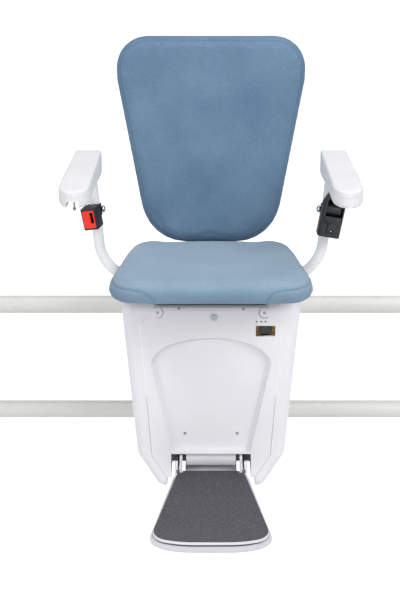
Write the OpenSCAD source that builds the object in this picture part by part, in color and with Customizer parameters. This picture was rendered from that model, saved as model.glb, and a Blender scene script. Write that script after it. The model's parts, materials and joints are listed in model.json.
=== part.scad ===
// Stairlift chair on its twin rail tubes.
// Origin: on the axis of the upper rail, at the middle of the carriage. The chair faces -Y, +Z is up.

/* [Rails] */
// Length of the two rail tubes
rail_len = 1200; // [1140:10:1400]
// Outside diameter of a rail tube
rail_d = 45; // [43:0.5:46]
// Wall of a rail tube
rail_wall = 3; // [2:0.5:5]
// Distance between the axes of the two rails
rail_pitch = 290; // [288:1:292]
// Size of a rack tooth, as a gear module
rack_module = 4; // [3.8:0.1:4.2]
// Teeth on the drive pinion
pinion_teeth = 16; // [14:1:18]

/* [Carriage housing] */
// Rail axis to the front face of the housing
housing_reach = 330; // [328:1:334]
// Upper rail axis to the top of the housing
housing_top = 124; // [120:0.5:124]
// Upper rail axis down to the lower tips of the side covers
housing_drop = 342; // [334:1:346]
// Half width of the housing at its shoulders
shoulder_half = 201; // [194:1:208]
// Half width of the housing at its knees
knee_half = 172; // [168:1:178]
// Upper rail axis down to the knees
knee_drop = 257; // [252:1:260]
// Half width of the housing at its tips
tip_half = 121; // [118:1:126]
// Rounding of the housing's edges
housing_edge_r = 24; // [18:1:26]
// Wall of the moulded covers
cover_wall = 3; // [2:0.5:3.5]
// Width of the line between two covers
cover_gap = 0.8; // [0.4:0.1:1.5]
// Depth of the arched recess in the front cover
recess_depth = 18; // [15:0.5:20]

/* [Footrest] */
// Length of the grit mat
mat_len = 314; // [300:1:325]
// Half width of the grit mat where its sides would meet its front
mat_half = 128; // [120:1:132]
// Thickness of the foot plate
foot_plate_t = 6; // [5:0.5:7]
// Gap between the foot plate and the safety pan
pan_gap = 4; // [3.5:0.5:5]
// Depth of the safety pan
pan_depth = 14; // [12:1:18]

/* [Seat] */
// Height of the seat's top at its rear edge
seat_z = 200; // [196:1:206]
// Length of the seat cushion
seat_len = 410; // [390:1:420]
// Half width of the seat near its front
seat_half = 218; // [208:1:222]
// Thickness of the seat with its board
seat_t = 50; // [47:1:54]
// Upward tilt of the seat
seat_tilt = 4.05; // [3:0.05:5]
// Height of the backrest cushion
back_len = 482; // [460:1:500]
// Half width of the backrest at its widest
back_half = 222; // [210:1:232]
// Thickness of the backrest cushion
back_t = 44; // [38:1:50]
// Lean of the backrest
back_tilt = 7; // [5:0.5:8]

/* [Arms] */
// Half width of the chair at the outside of the arm tubes' tops
arm_x = 275; // [273:1:279]
// Height of the armrest's top
arm_top = 440; // [430:1:450]
// Length of an armrest
arm_len = 356; // [330:1:380]
// Half width of an armrest at its front
arm_half = 31; // [29:0.5:33]
// Diameter of the arm tubes
arm_tube_d = 25; // [24:0.5:26]
// Wall of the arm tubes
arm_tube_wall = 2; // [1.5:0.5:3]

/* [Hidden] */
$fn = 64;

// Shared clearances and fastener sizes
run_fit = 0.05;
roll_gap = 0.3;
part_gap = 0.3;
cut_over = 1;
arc_steps = 8;

// Rails
rail_r = rail_d / 2;
rail_bore_r = rail_r - rail_wall;
rack_w = 14;
rack_root_t = 6;
rack_end = 10;
tooth_play = 0.15;
pressure_angle = 20;
tooth_pitch = PI * rack_module;
rack_teeth = 2 * floor((rail_len - 2 * rack_end) / tooth_pitch / 2 - 0.5) + 1;
addendum = rack_module;
dedendum = 1.25 * rack_module;
rack_line_y = rail_r + rack_root_t + dedendum;
pinion_r = pinion_teeth * rack_module / 2;
pinion_y = rack_line_y + pinion_r;
pinion_w = 16;
pinion_shaft_r = 9;

// Rollers
roller_x = 80;
roller_core_r = 18;
roller_flange = 21;
roller_edge_r = 28;
small_core_r = 14;
small_edge_r = 21;
small_flange = 18;
axle_r = 6;
axle_head = 3;
axle_head_r = 9;
hanger_z = rail_r + roll_gap + roller_core_r;
thrust_y = rail_r + roll_gap + small_core_r;

// Chassis
chassis_y = -75;
chassis_t = 8;
chassis_front = chassis_y - chassis_t;
chassis_half = 130;
chassis_low_half = 104;
chassis_top = 104;
chassis_bottom = -318;
deck_t = 8;
deck_half = 90;
deck_set_in = 30;
deck_front = deck_set_in - housing_reach;
gusset_t = 6;
gusset_x = 66;
gusset_drop = 90;
chassis_corner_r = 20;
bogie_t = 6;
bogie_cheek_y = 26;
bogie_half = 112;
bogie_top = 85;
bogie_foot = 30;
spacer_half = 40;
spacer_low = 45;
lower_plate_rear = 56;
lower_gap = 25;

// Swivel
swivel_y = -215;
swivel_r = 22;
swivel_flange_r = 45;
swivel_flange_t = 6;
bearing_r = 40;
swivel_z = 128;
swivel_plate_r = 75;
swivel_plate_t = 6;
swivel_head_r = 32;
swivel_head_t = 3;
swivel_hole_r = 44;

// Housing places
housing_rear = 10;
lug_x = 119.5;
lug_z = 101;
lug_r = 11.6;
lug_gap = 1.5;
part_top_x = 126;
part_shoulder_x = 161;
part_shoulder_z = 88;
part_mid_x = 147;
part_mid_z = -112;
part_knee_x = 138;
part_knee_z = -254;
part_low_x = 103;
front_bottom = -312;
notch_clear = 3;
recess_top = 41;
recess_half = 136.5;
recess_wide_z = -24;
recess_low_half = 91.5;
recess_low_z = -249;
recess_slope = 10;
window_x = 122.6;
window_z = 57.2;
window_w = 43.6;
window_h = 25.6;
window_r = 1.5;
led_z = 80;
led_x = [102.2, 112.4, 122.2];
led_r = 1.9;
lip_rear = -150;
bar_r = 20.5;
bar_half = 58;
bar_set_in = 29;
bar_y = bar_set_in - housing_reach;
bar_z = -271;
slot_in = 61;
slot_out = 93;
slot_top = -251;
boss_r = 3;
bolt_x = 6;
bolt_z = 90;
bolt_r = 7;
bolt_seat_r = 10;
bolt_seat_deep = 0.8;
dimple_r = 1.6;
dimple_deep = 0.6;
dimples = [[100, 0], [79, -193]];
screw_r = 3.2;
screw_places = [[72, 115], [-72, 115], [61, -206], [-61, -206], [lug_x, lug_z], [-lug_x, lug_z]];

// Switch
switch_set_in = 14;
switch_plate_y = switch_set_in - housing_reach;
switch_plate_t = 2;
switch_r = 15;
switch_bezel = 2;
rocker_r = 11.2;
switch_body_half = 13.5;
switch_body_len = 24;
rocker_set_in = 11;
rocker_axis_y = rocker_set_in - housing_reach;

// Footrest
foot_set_in = 5;
foot_y = foot_set_in - housing_reach;
foot_z = -300;
mat_set_out = 3;
mat_rear_y = foot_y - mat_set_out;
mat_rear_half = 76;
mat_t = 2;
mat_inset = 1.2;
mat_bow = 19;
mat_corner_r = 38;
mat_rear_r = 26;
pan_tip = 14;
pan_tip_front = 5;
pan_rim = 13;
pan_slope = 10;
pan_wall = 2.5;
foot_pin_r = 5;
inner_arm_x = 67;
inner_arm_t = 6;
outer_arm_x = 81;
outer_arm_t = 4;
bracket_x = 75;
bracket_t = 4;
foot_arm_top = 43;
outer_arm_top = 28;
foot_arm_w = 16;
foot_arm_reach = 50;
guide_r = 4;
guide_share = [[0.22, 0.62], [0.82, 0.8]];

// Seat
seat_y = -92;
pivot_y = -121;
pivot_z = 171;
hinge_x = 114;
hinge_t = 8;
cheek_t = 5;
cheek_gap = 0.5;
hinge_pin_r = 5;
hinge_eye_r = 10;
board_t = 8;
board_inset = 42;
pocket_in = 104;
pocket_out = 132;
pocket_deep = 48;
frame_t = 6;
frame_half = 128;
frame_front = -385;
frame_rear = -100;
frame_z = swivel_z + swivel_plate_t;

// Arm tubes
tube_r = arm_tube_d / 2;
tube_y = swivel_y;
tube_z = 141;
tube_in = 80;
tube_set_in = 3;
tube_bend_x = 159;
tube_bend_r = 97;
tube_turn = 85;
saddle_len = 34;
saddle_depth = 36;
saddle_top = 156;
arm_pivot_z = 412;
arm_pivot_r = 4;
arm_rear = 28;

// Backrest
back_y = -78;
back_bottom = 192;
shell_t = 14;
shell_inset = 8;
strap_t = 6;
strap_half = 60;
strap_top = 400;

// Colours
col_cover = "#E8E7EC";
col_fabric = "#7FA0BC";
col_steel = "#A9B6BD";
col_dark = "#2B2D33";
col_rail = "#E6E7E6";

// Shared forms

// Points of a rounded corner at b, between the lines to a and to c
function unit(v) = v / norm(v);
function turn_of(a, b, c) = acos(max(-1, min(1, unit(a - b) * unit(c - b))));
function corner_centre(a, b, c, r) = b + unit(unit(a - b) + unit(c - b)) * r / sin(turn_of(a, b, c) / 2);
function corner_arc(a, b, c, r, n) =
    let (
        m = corner_centre(a, b, c, r),
        reach = r / tan(turn_of(a, b, c) / 2),
        p = b + unit(a - b) * reach - m,
        q = b + unit(c - b) * reach - m,
        from = atan2(p[1], p[0]),
        swing = atan2(q[1], q[0]) - from,
        sweep = swing > 180 ? swing - 360 : (swing < -180 ? swing + 360 : swing)
    )
    [for (i = [0:n]) m + r * [cos(from + sweep * i / n), sin(from + sweep * i / n)]];
function rounded(pts, radii, n = arc_steps) = [
    for (i = [0:len(pts) - 1])
        let (a = pts[(i + len(pts) - 1) % len(pts)], b = pts[i], c = pts[(i + 1) % len(pts)])
            each (radii[i] > 0 ? corner_arc(a, b, c, radii[i], n) : [b])
];
function mirrored(half) = concat(half, [for (i = [len(half) - 1:-1:0]) [-half[i][0], half[i][1]]]);
function both(values) = concat(values, [for (i = [len(values) - 1:-1:0]) values[i]]);

// A plate cut to an outline seen from the front, from y = near back to y = near + t
module plate_xz(near, t) {
    translate([0, near + t, 0])
        rotate([90, 0, 0])
            linear_extrude(t) children();
}

// A plate cut to an outline seen from the side, from x = near to x = near + t
module plate_yz(near, t) {
    translate([near, 0, 0])
        rotate([90, 0, 90])
            linear_extrude(t) children();
}

// A round bar along X, Y or Z, from a start point
module bar_x(p, r, len) {
    translate(p) rotate([0, 90, 0]) cylinder(r = r, h = len);
}
module bar_y(p, r, len) {
    translate(p) rotate([-90, 0, 0]) cylinder(r = r, h = len);
}
module bar_z(p, r, len) {
    translate(p) cylinder(r = r, h = len);
}
module block(low, high) {
    translate(low) cube(high - low);
}
module pair() {
    children();
    mirror([1, 0, 0]) children();
}

// A closed skin over rings of points that all have the same count, with a fan to a point at each end
module skin(rings, first_mid, last_mid) {
    n = len(rings[0]);
    m = len(rings);
    polyhedron(
        points = concat([for (ring = rings) each ring], [first_mid, last_mid]),
        faces = concat(
            [for (i = [0:n - 1]) [n * m, i, (i + 1) % n]],
            [for (k = [0:m - 2]) for (i = [0:n - 1])
                [k * n + i, (k + 1) * n + i, (k + 1) * n + (i + 1) % n]],
            [for (k = [0:m - 2]) for (i = [0:n - 1])
                [k * n + i, (k + 1) * n + (i + 1) % n, k * n + (i + 1) % n]],
            [for (i = [0:n - 1]) [n * m + 1, (m - 1) * n + (i + 1) % n, (m - 1) * n + i]]
        )
    );
}

// Rails and rack
module rail_tube(z) {
    difference() {
        bar_x([-rail_len / 2, 0, z], rail_r, rail_len);
        bar_x([-rail_len / 2 - cut_over, 0, z], rail_bore_r, rail_len + 2 * cut_over);
    }
}
module upper_rail() {
    color(col_rail) rail_tube(0);
}
module lower_rail() {
    color(col_rail) rail_tube(-rail_pitch);
}

// The rack runs along the back of the upper rail, with a tooth at the middle
module toothed_rack() {
    tip = tooth_pitch / 4 - addendum * tan(pressure_angle) - tooth_play;
    root = tooth_pitch / 4 + dedendum * tan(pressure_angle) - tooth_play;
    end = rack_teeth * tooth_pitch / 2;
    profile = concat(
        [[end, rail_r - addendum], [-end, rail_r - addendum]],
        [for (i = [0:rack_teeth - 1]) let (x = (i + 0.5) * tooth_pitch - end) each [
            [x - root, rack_line_y - dedendum], [x - tip, rack_line_y + addendum],
            [x + tip, rack_line_y + addendum], [x + root, rack_line_y - dedendum]]]
    );
    color(col_steel)
        difference() {
            translate([0, 0, -rack_w / 2]) linear_extrude(rack_w) polygon(profile);
            bar_x([-rail_len / 2, 0, 0], rail_r + run_fit, rail_len);
        }
}

// Drive pinion with involute flanks, on its shaft from the gearbox
pinion_base_r = pinion_r * cos(pressure_angle);
pinion_tip_r = pinion_r + addendum;
pinion_root_r = pinion_r - dedendum;
function involute(a) = tan(a) * 180 / PI - a;
function flank_angle(r) = involute(acos(min(1, pinion_base_r / r)));
function half_tooth(r) = 90 / pinion_teeth - tooth_play / pinion_r * 180 / PI
    + flank_angle(pinion_r) - flank_angle(max(r, pinion_base_r));
flank_steps = 5;
module pinion_gear(w) {
    radii = [for (i = [0:flank_steps])
        max(pinion_base_r, pinion_root_r) + (pinion_tip_r - max(pinion_base_r, pinion_root_r)) * i / flank_steps];
    points = [for (k = [0:pinion_teeth - 1])
        let (mid = -90 + (k + 0.5) * 360 / pinion_teeth)
            each concat(
                [pinion_root_r * [cos(mid - half_tooth(radii[0])), sin(mid - half_tooth(radii[0]))]],
                [for (r = radii) r * [cos(mid - half_tooth(r)), sin(mid - half_tooth(r))]],
                [for (i = [flank_steps:-1:0])
                    radii[i] * [cos(mid + half_tooth(radii[i])), sin(mid + half_tooth(radii[i]))]],
                [pinion_root_r * [cos(mid + half_tooth(radii[0])), sin(mid + half_tooth(radii[0]))]]
            )];
    linear_extrude(w) polygon(points);
}
pinion_hub_r = 16;
pinion_hub_t = 6;
shaft_deep = 30;
gear_top = -40;
module drive_pinion() {
    color(col_steel)
        union() {
            translate([0, pinion_y, -pinion_w / 2]) pinion_gear(pinion_w);
            bar_z([0, pinion_y, pinion_w / 2 - cut_over], pinion_hub_r, pinion_hub_t + cut_over);
            bar_z([0, pinion_y, gear_top - shaft_deep], pinion_shaft_r, pinion_w / 2 - gear_top + shaft_deep);
        }
}

// A concave roller, with its groove matched to a rail
module roller(core_r, edge_r, flange) {
    rotate_extrude($fn = 96)
        difference() {
            translate([axle_r + run_fit, -flange]) square([edge_r - axle_r - run_fit, 2 * flange]);
            translate([core_r + rail_r + roll_gap, 0]) circle(r = rail_r + roll_gap);
        }
}
module hanger(side) {
    color("#3A3B40")
        translate([side * roller_x, 0, hanger_z])
            rotate([90, 0, 0]) roller(roller_core_r, roller_edge_r, roller_flange);
}
module left_hanger_roller() {
    hanger(-1);
}
module right_hanger_roller() {
    hanger(1);
}
module side_roller(side, depth) {
    color("#3A3B40")
        translate([side * roller_x, depth * thrust_y, -rail_pitch])
            roller(small_core_r, small_edge_r, small_flange);
}
module left_thrust_roller() {
    side_roller(-1, -1);
}
module right_thrust_roller() {
    side_roller(1, -1);
}
module left_keeper_roller() {
    side_roller(-1, 1);
}
module right_keeper_roller() {
    side_roller(1, 1);
}
lower_plate_z = -rail_pitch - lower_gap;
module roller_axles() {
    color(col_steel)
        pair() {
            bar_y([roller_x, -bogie_cheek_y - bogie_t, hanger_z], axle_r, 2 * (bogie_cheek_y + bogie_t));
            bar_y([roller_x, bogie_cheek_y + bogie_t, hanger_z], axle_head_r, axle_head);
            bar_z([roller_x, -thrust_y, lower_plate_z - bogie_t], axle_r, 2 * (lower_gap + bogie_t));
            bar_z([roller_x, thrust_y, lower_plate_z - bogie_t], axle_r,
                lower_gap + bogie_t + small_flange + part_gap);
            bar_z([roller_x, thrust_y, -rail_pitch + small_flange + part_gap], axle_head_r, axle_head);
        }
}

// Chassis: upright plate, seat deck with its front tab, and gussets
tab_half = 22;
tab_drop = 20;
module chassis_frame() {
    outline = rounded(
        mirrored([[chassis_low_half, chassis_bottom], [chassis_half, -knee_drop],
            [chassis_half, chassis_top - deck_t]]),
        both([chassis_corner_r, chassis_corner_r, chassis_corner_r]));
    color("#8C9197")
        difference() {
            union() {
                difference() {
                    plate_xz(chassis_front, chassis_t) polygon(outline);
                    bar_y([0, chassis_front - cut_over, motor_z], motor_boss_r, chassis_t + 2 * cut_over);
                    for (side = [-1, 1])
                        bar_y([side * chassis_half * 0.7, chassis_front - cut_over, -rail_pitch * 0.6],
                            chassis_corner_r, chassis_t + 2 * cut_over);
                }
                block([-deck_half, deck_front, chassis_top - deck_t], [deck_half, chassis_y, chassis_top]);
                block([bolt_x - tab_half, deck_front, chassis_top - deck_t - tab_drop],
                    [bolt_x + tab_half, deck_front + deck_t, chassis_top]);
                pair()
                    plate_yz(gusset_x, gusset_t)
                        polygon([[chassis_front, chassis_top - deck_t],
                            [deck_front + 2 * deck_t, chassis_top - deck_t],
                            [deck_front + 2 * deck_t, chassis_top - 3 * deck_t],
                            [chassis_front, chassis_top - gusset_drop]]);
            }
            bar_y([bolt_x, deck_front - cut_over, bolt_z], screw_r + run_fit, deck_t + 2 * cut_over);
        }
}
module upper_bogie_bracket() {
    color("#767B82")
        difference() {
            union() {
                for (y = [-bogie_cheek_y - bogie_t, bogie_cheek_y])
                    plate_xz(y, bogie_t)
                        polygon(rounded([[-bogie_half, bogie_foot], [bogie_half, bogie_foot],
                            [bogie_half, bogie_top], [-bogie_half, bogie_top]],
                            [bogie_t, bogie_t, chassis_corner_r, chassis_corner_r]));
                block([-spacer_half, -bogie_cheek_y - bogie_t, bogie_top - bogie_t],
                    [spacer_half, bogie_cheek_y + bogie_t, bogie_top]);
                block([-spacer_half, chassis_y, spacer_low], [spacer_half, -bogie_cheek_y, bogie_top]);
            }
            for (x = [-1, 1])
                bar_y([x * roller_x, -bogie_cheek_y - 2 * bogie_t, hanger_z], axle_r + run_fit,
                    2 * (bogie_cheek_y + 2 * bogie_t));
        }
}
module lower_bogie_bracket() {
    plate = rounded([[-bogie_half, chassis_y], [bogie_half, chassis_y],
        [bogie_half, lower_plate_rear], [-bogie_half, lower_plate_rear]],
        [0, 0, chassis_corner_r, chassis_corner_r]);
    top_z = -rail_pitch + lower_gap;
    top_rear = -thrust_y + axle_head_r + bogie_t;
    color("#767B82")
        difference() {
            union() {
                translate([0, 0, lower_plate_z - bogie_t]) linear_extrude(bogie_t) polygon(plate);
                block([-bogie_half, chassis_y, top_z], [bogie_half, top_rear, top_z + bogie_t]);
                block([-bogie_half, chassis_y, lower_plate_z - bogie_t],
                    [bogie_half, chassis_y + bogie_t, top_z + bogie_t]);
            }
            for (x = [-1, 1], y = [-1, 1])
                bar_z([x * roller_x, y * thrust_y, lower_plate_z - 2 * bogie_t], axle_r + run_fit,
                    2 * (lower_gap + 2 * bogie_t));
        }
}

// Drive and power, inside the housing
gear_half = 40;
gear_depth = 66;
gear_neck_half = 26;
motor_r = 31;
motor_len = 118;
motor_boss_r = 22;
motor_fin = 3;
motor_z = gear_top - gear_depth / 2;
module gearbox() {
    color("#7D8288")
        difference() {
            union() {
                bar_z([0, pinion_y, gear_top - gear_depth], gear_half, gear_depth);
                block([-gear_half, 0, gear_top - gear_depth], [gear_half, pinion_y, gear_top]);
                block([-gear_neck_half, chassis_y, gear_top - gear_depth], [gear_neck_half, 0, gear_top]);
                bar_z([0, pinion_y, gear_top - cut_over], pinion_hub_r, pinion_hub_t + cut_over);
            }
            bar_z([0, pinion_y, gear_top - shaft_deep], pinion_shaft_r + run_fit,
                shaft_deep + pinion_hub_t + cut_over);
        }
}
module drive_motor() {
    color("#4A4D52")
        union() {
            bar_y([0, chassis_front - motor_len, motor_z], motor_r, motor_len);
            bar_y([0, chassis_front - cut_over, motor_z], motor_boss_r - run_fit, chassis_t + cut_over);
            for (share = [0.02, 0.9])
                bar_y([0, chassis_front - motor_len * (1 - share), motor_z], motor_r + motor_fin, motor_fin);
        }
}
battery_w = 65;
battery_l = 151;
battery_h = 94;
battery_in = 42;
battery_y = -98;
battery_z = -262;
tray_t = 2;
tray_lip = 20;
terminal_r = 4;
terminal_h = 5;
module batteries() {
    color("#2E3036")
        pair()
            union() {
                block([battery_in, battery_y - battery_l, battery_z],
                    [battery_in + battery_w, battery_y, battery_z + battery_h]);
                for (share = [0.2, 0.8])
                    bar_z([battery_in + battery_w * share, battery_y - battery_l * 0.1,
                        battery_z + battery_h - cut_over], terminal_r, terminal_h + cut_over);
            }
}
module battery_tray() {
    tray_half = battery_in + battery_w + tray_t;
    color(col_steel)
        difference() {
            block([-tray_half, battery_y - battery_l - tray_t, battery_z - tray_t],
                [tray_half, chassis_front, battery_z + tray_lip]);
            block([-tray_half + tray_t, battery_y - battery_l, battery_z],
                [tray_half - tray_t, chassis_front + cut_over, battery_z + tray_lip + cut_over]);
        }
}
board_x = -125;
board_w = 50;
board_h = 96;
board_z = 22;
board_y = -96;
board_stand = 3;
board_thick = 1.6;
module control_board() {
    color("#2F6B4A")
        union() {
            block([board_x, board_y - board_thick, board_z - board_h / 2],
                [board_x + board_w, board_y, board_z + board_h / 2]);
            for (x = [0.12, 0.88], z = [-0.42, 0.42])
                bar_y([board_x + board_w * x, board_y - cut_over, board_z + board_h * z], board_stand,
                    chassis_front - board_y + cut_over);
            for (z = [-0.3, 0, 0.3])
                block([board_x + board_w * 0.25, board_y - board_w * 0.3, board_z + board_h * (z - 0.1)],
                    [board_x + board_w * 0.75, board_y - board_thick / 2, board_z + board_h * (z + 0.1)]);
        }
}

// Housing shells
// Corners of the housing seen from the front, right half, top to bottom
housing_corners = [[shoulder_half, housing_top], [knee_half, -knee_drop], [tip_half, -housing_drop]];
function housing_centres(r) = [
    [shoulder_half - r, housing_top - r],
    corner_centre(housing_corners[0], housing_corners[1], housing_corners[2], r),
    corner_centre(housing_corners[1], housing_corners[2], [0, -housing_drop], r)];
module housing_form(inset) {
    r = housing_edge_r;
    hull()
        for (c = housing_centres(r), side = [-1, 1]) {
            translate([side * c[0], r - housing_reach, c[1]]) sphere(r = r - inset, $fn = 32);
            translate([side * c[0], housing_rear + (inset > 0 ? cut_over : 0), c[1]])
                rotate([90, 0, 0]) cylinder(r = r - inset, h = r, $fn = 32);
        }
}
// The line between the front cover and a side cover, right half, moved out by grow
function part_line(grow) = rounded(
    [[0, housing_top + housing_edge_r], [part_top_x + grow, housing_top + housing_edge_r],
        [part_top_x + grow, part_shoulder_z], [part_shoulder_x + grow, part_shoulder_z],
        [part_mid_x + grow, part_mid_z], [part_knee_x + grow, part_knee_z],
        [part_low_x + grow, front_bottom], [part_low_x + grow, -housing_drop - housing_edge_r],
        [0, -housing_drop - housing_edge_r]],
    [0, 0, 0, housing_edge_r, housing_edge_r, housing_edge_r, 0, 0, 0]);
module front_region() {
    for (side = [0, 1])
        mirror([side, 0, 0])
            difference() {
                polygon(part_line(0));
                translate([lug_x, lug_z]) circle(r = lug_r + lug_gap);
            }
}
module side_region() {
    union() {
        difference() {
            translate([0, -2 * housing_drop]) square([2 * shoulder_half, 4 * housing_drop]);
            polygon(part_line(cover_gap));
            translate([0, -2 * housing_drop])
                square([part_low_x, 2 * housing_drop - housing_edge_r - housing_top]);
        }
        translate([lug_x, lug_z]) circle(r = lug_r);
    }
}
function recess_half_outline(inset) = concat(
    [for (i = [0:arc_steps * 2]) let (a = 90 - 90 * i / (arc_steps * 2))
        [(recess_half - inset) * cos(a), recess_wide_z + (recess_top - recess_wide_z - inset) * sin(a)]],
    [[recess_low_half - inset, recess_low_z + inset / recess_depth]]);
module recess_form(inset, deeper) {
    hull() {
        plate_xz(-housing_reach - cut_over, cut_over) polygon(mirrored(recess_half_outline(inset)));
        plate_xz(-housing_reach + recess_depth + deeper - cut_over, cut_over)
            polygon(mirrored(recess_half_outline(inset + recess_slope)));
    }
}
module front_cover() {
    color(col_cover)
        difference() {
            intersection() {
                union() {
                    difference() {
                        housing_form(0);
                        housing_form(cover_wall);
                    }
                    intersection() {
                        housing_form(0);
                        recess_form(-cover_wall, cover_wall);
                    }
                    // Bar over the footrest's hinge, with its end walls
                    bar_x([-bar_half, bar_y, bar_z], bar_r, 2 * bar_half);
                    // Web that holds the bar to the back of the recess
                    block([-bar_half, recess_depth - housing_reach, slot_top],
                        [bar_half, bar_y + cover_wall, slot_top + cover_wall]);
                    block([-bar_half, bar_y, bar_z + bar_r - 2 * cover_wall],
                        [bar_half, bar_y + cover_wall, slot_top + cover_wall]);
                    // Lower lip, which closes the housing behind the footrest
                    block([-part_low_x + cover_gap, cover_wall - housing_reach, front_bottom],
                        [part_low_x - cover_gap, lip_rear, front_bottom + cover_wall]);
                    // Bosses for the switch plate
                    for (side = [-1, 1])
                        bar_y([window_x + side * (window_w / 2 + 2 * boss_r), cover_wall / 2 - housing_reach, window_z],
                            boss_r, switch_plate_y - switch_plate_t + housing_reach - cover_wall / 2);
                }
                plate_xz(-2 * housing_reach, 3 * housing_reach)
                    intersection() {
                        front_region();
                        translate([-shoulder_half, front_bottom]) square([2 * shoulder_half, 2 * housing_drop]);
                    }
            }
            recess_form(0, 0);
            // Hollow of the hinge bar
            bar_x([-bar_half + cover_wall, bar_y, bar_z], bar_r - cover_wall, 2 * (bar_half - cover_wall));
            // Hinge slots, open at the bottom
            for (side = [-1, 1]) {
                block([side * (slot_in + slot_out) / 2 - (slot_out - slot_in) / 2, -housing_reach - cut_over,
                    front_bottom - cut_over],
                    [side * (slot_in + slot_out) / 2 + (slot_out - slot_in) / 2, foot_y + foot_arm_top + 2 * foot_arm_w,
                        slot_top]);
            }
            // The front face is open between the slots, round the bar
            difference() {
                block([-slot_in - cut_over, -housing_reach - cut_over, front_bottom - cut_over],
                    [slot_in + cut_over, bar_y, slot_top]);
                bar_x([-bar_half, bar_y, bar_z], bar_r, 2 * bar_half);
            }
            // Switch window, lamp holes and bolt seat
            block([window_x - window_w / 2, -housing_reach - cut_over, window_z - window_h / 2],
                [window_x + window_w / 2, cover_wall - housing_reach + cut_over, window_z + window_h / 2]);
            for (x = led_x)
                bar_y([x, -housing_reach - cut_over, led_z], led_r + part_gap, cover_wall + 2 * cut_over);
            bar_y([bolt_x, -housing_reach - cut_over, bolt_z], screw_r + part_gap, cover_wall + 2 * cut_over);
            bar_y([bolt_x, -housing_reach - cut_over, bolt_z], bolt_seat_r, cut_over + bolt_seat_deep);
            for (side = [-1, 1], d = dimples)
                bar_y([side * d[0], recess_depth - housing_reach - cut_over, d[1]], dimple_r, cut_over + dimple_deep);
            bar_z([0, swivel_y, housing_top - housing_edge_r], swivel_hole_r, 2 * housing_edge_r);
            for (p = screw_places)
                bar_y([p[0], -housing_reach - cut_over, p[1]], screw_r + part_gap, recess_depth + 2 * cover_wall);
        }
}
module side_cover() {
    difference() {
        intersection() {
            difference() {
                housing_form(0);
                housing_form(cover_wall);
            }
            plate_xz(-2 * housing_reach, 3 * housing_reach) side_region();
        }
        // Notches for the rails, open to the rear
        for (z = [0, -rail_pitch])
            union() {
                bar_x([0, 0, z], rail_r + notch_clear, 2 * shoulder_half);
                block([0, 0, z - rail_r - notch_clear],
                    [2 * shoulder_half, 2 * rail_r, z + rail_r + notch_clear]);
            }
        bar_y([lug_x, -housing_reach - cut_over, lug_z], screw_r + part_gap, 2 * cover_wall);
    }
}
module right_side_cover() {
    color(col_cover) side_cover();
}
module left_side_cover() {
    color(col_cover) mirror([1, 0, 0]) side_cover();
}
screw_head_t = 1.6;
screw_len = 12;
// Depth of the cover's outer face behind its front plane, at a height
function face_y(z) =
    let (up = z - housing_top + housing_edge_r)
        z < 0 ? recess_depth - housing_reach
            : (up > 0 ? housing_edge_r - sqrt(housing_edge_r ^ 2 - up ^ 2) : 0) - housing_reach;
module cover_screws() {
    color("#8B949A")
        for (p = screw_places) {
            bar_y([p[0], face_y(p[1]) - screw_head_t / 4, p[1]], screw_r, screw_head_t + cover_wall / 2);
            bar_y([p[0], face_y(p[1]), p[1]], screw_r / 2, screw_len);
        }
}
module centre_bolt() {
    color(col_steel)
        difference() {
            union() {
                bar_y([bolt_x, -housing_reach - 2 * screw_head_t, bolt_z], bolt_r, 2 * screw_head_t + bolt_seat_deep);
                bar_y([bolt_x, -housing_reach - screw_head_t, bolt_z], screw_r,
                    deck_front + housing_reach + screw_head_t + deck_t);
            }
            bar_y([bolt_x, -housing_reach - 2 * screw_head_t - cut_over, bolt_z], screw_r,
                screw_head_t + cut_over);
        }
}

// Switch and lamps
module switch_plate() {
    side = window_w / 2 + 2 * boss_r;
    color("#95703F")
        difference() {
            block([window_x - side - 2 * boss_r, switch_plate_y - switch_plate_t, window_z - window_h / 2 - boss_r],
                [window_x + side + boss_r, switch_plate_y, led_z + 2 * led_r + boss_r]);
            bar_y([window_x, switch_plate_y - 2 * switch_plate_t, window_z], switch_body_half + run_fit,
                3 * switch_plate_t);
        }
}
module switch_housing() {
    color(col_dark)
        difference() {
            union() {
                bar_y([window_x, switch_plate_y - switch_plate_t - switch_bezel, window_z], switch_r, switch_bezel);
                bar_y([window_x, switch_plate_y - switch_plate_t - cut_over, window_z], switch_body_half,
                    switch_body_len);
            }
            bar_y([window_x, -housing_reach, window_z], rocker_r + 2 * part_gap, switch_body_len);
        }
}
rocker_rise = 3;
rocker_face_y = switch_plate_y - switch_plate_t - switch_bezel - rocker_rise;
rocker_curve_r = 34;
module power_rocker() {
    color("#232324")
        difference() {
            bar_y([window_x, rocker_face_y, window_z], rocker_r, 2 * (rocker_axis_y - rocker_face_y));
            // Hollowed face, so that each side stands proud in turn
            bar_z([window_x, rocker_face_y - rocker_curve_r + rocker_rise / 2, window_z - 2 * rocker_r],
                rocker_curve_r, 4 * rocker_r);
        }
}
module indicator_leds() {
    color("#4F9F66")
        for (x = led_x) {
            bar_y([x, -housing_reach + led_r, led_z], led_r, switch_plate_y - switch_plate_t + housing_reach - led_r);
            translate([x, -housing_reach + led_r, led_z]) sphere(r = led_r, $fn = 24);
        }
}

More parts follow.
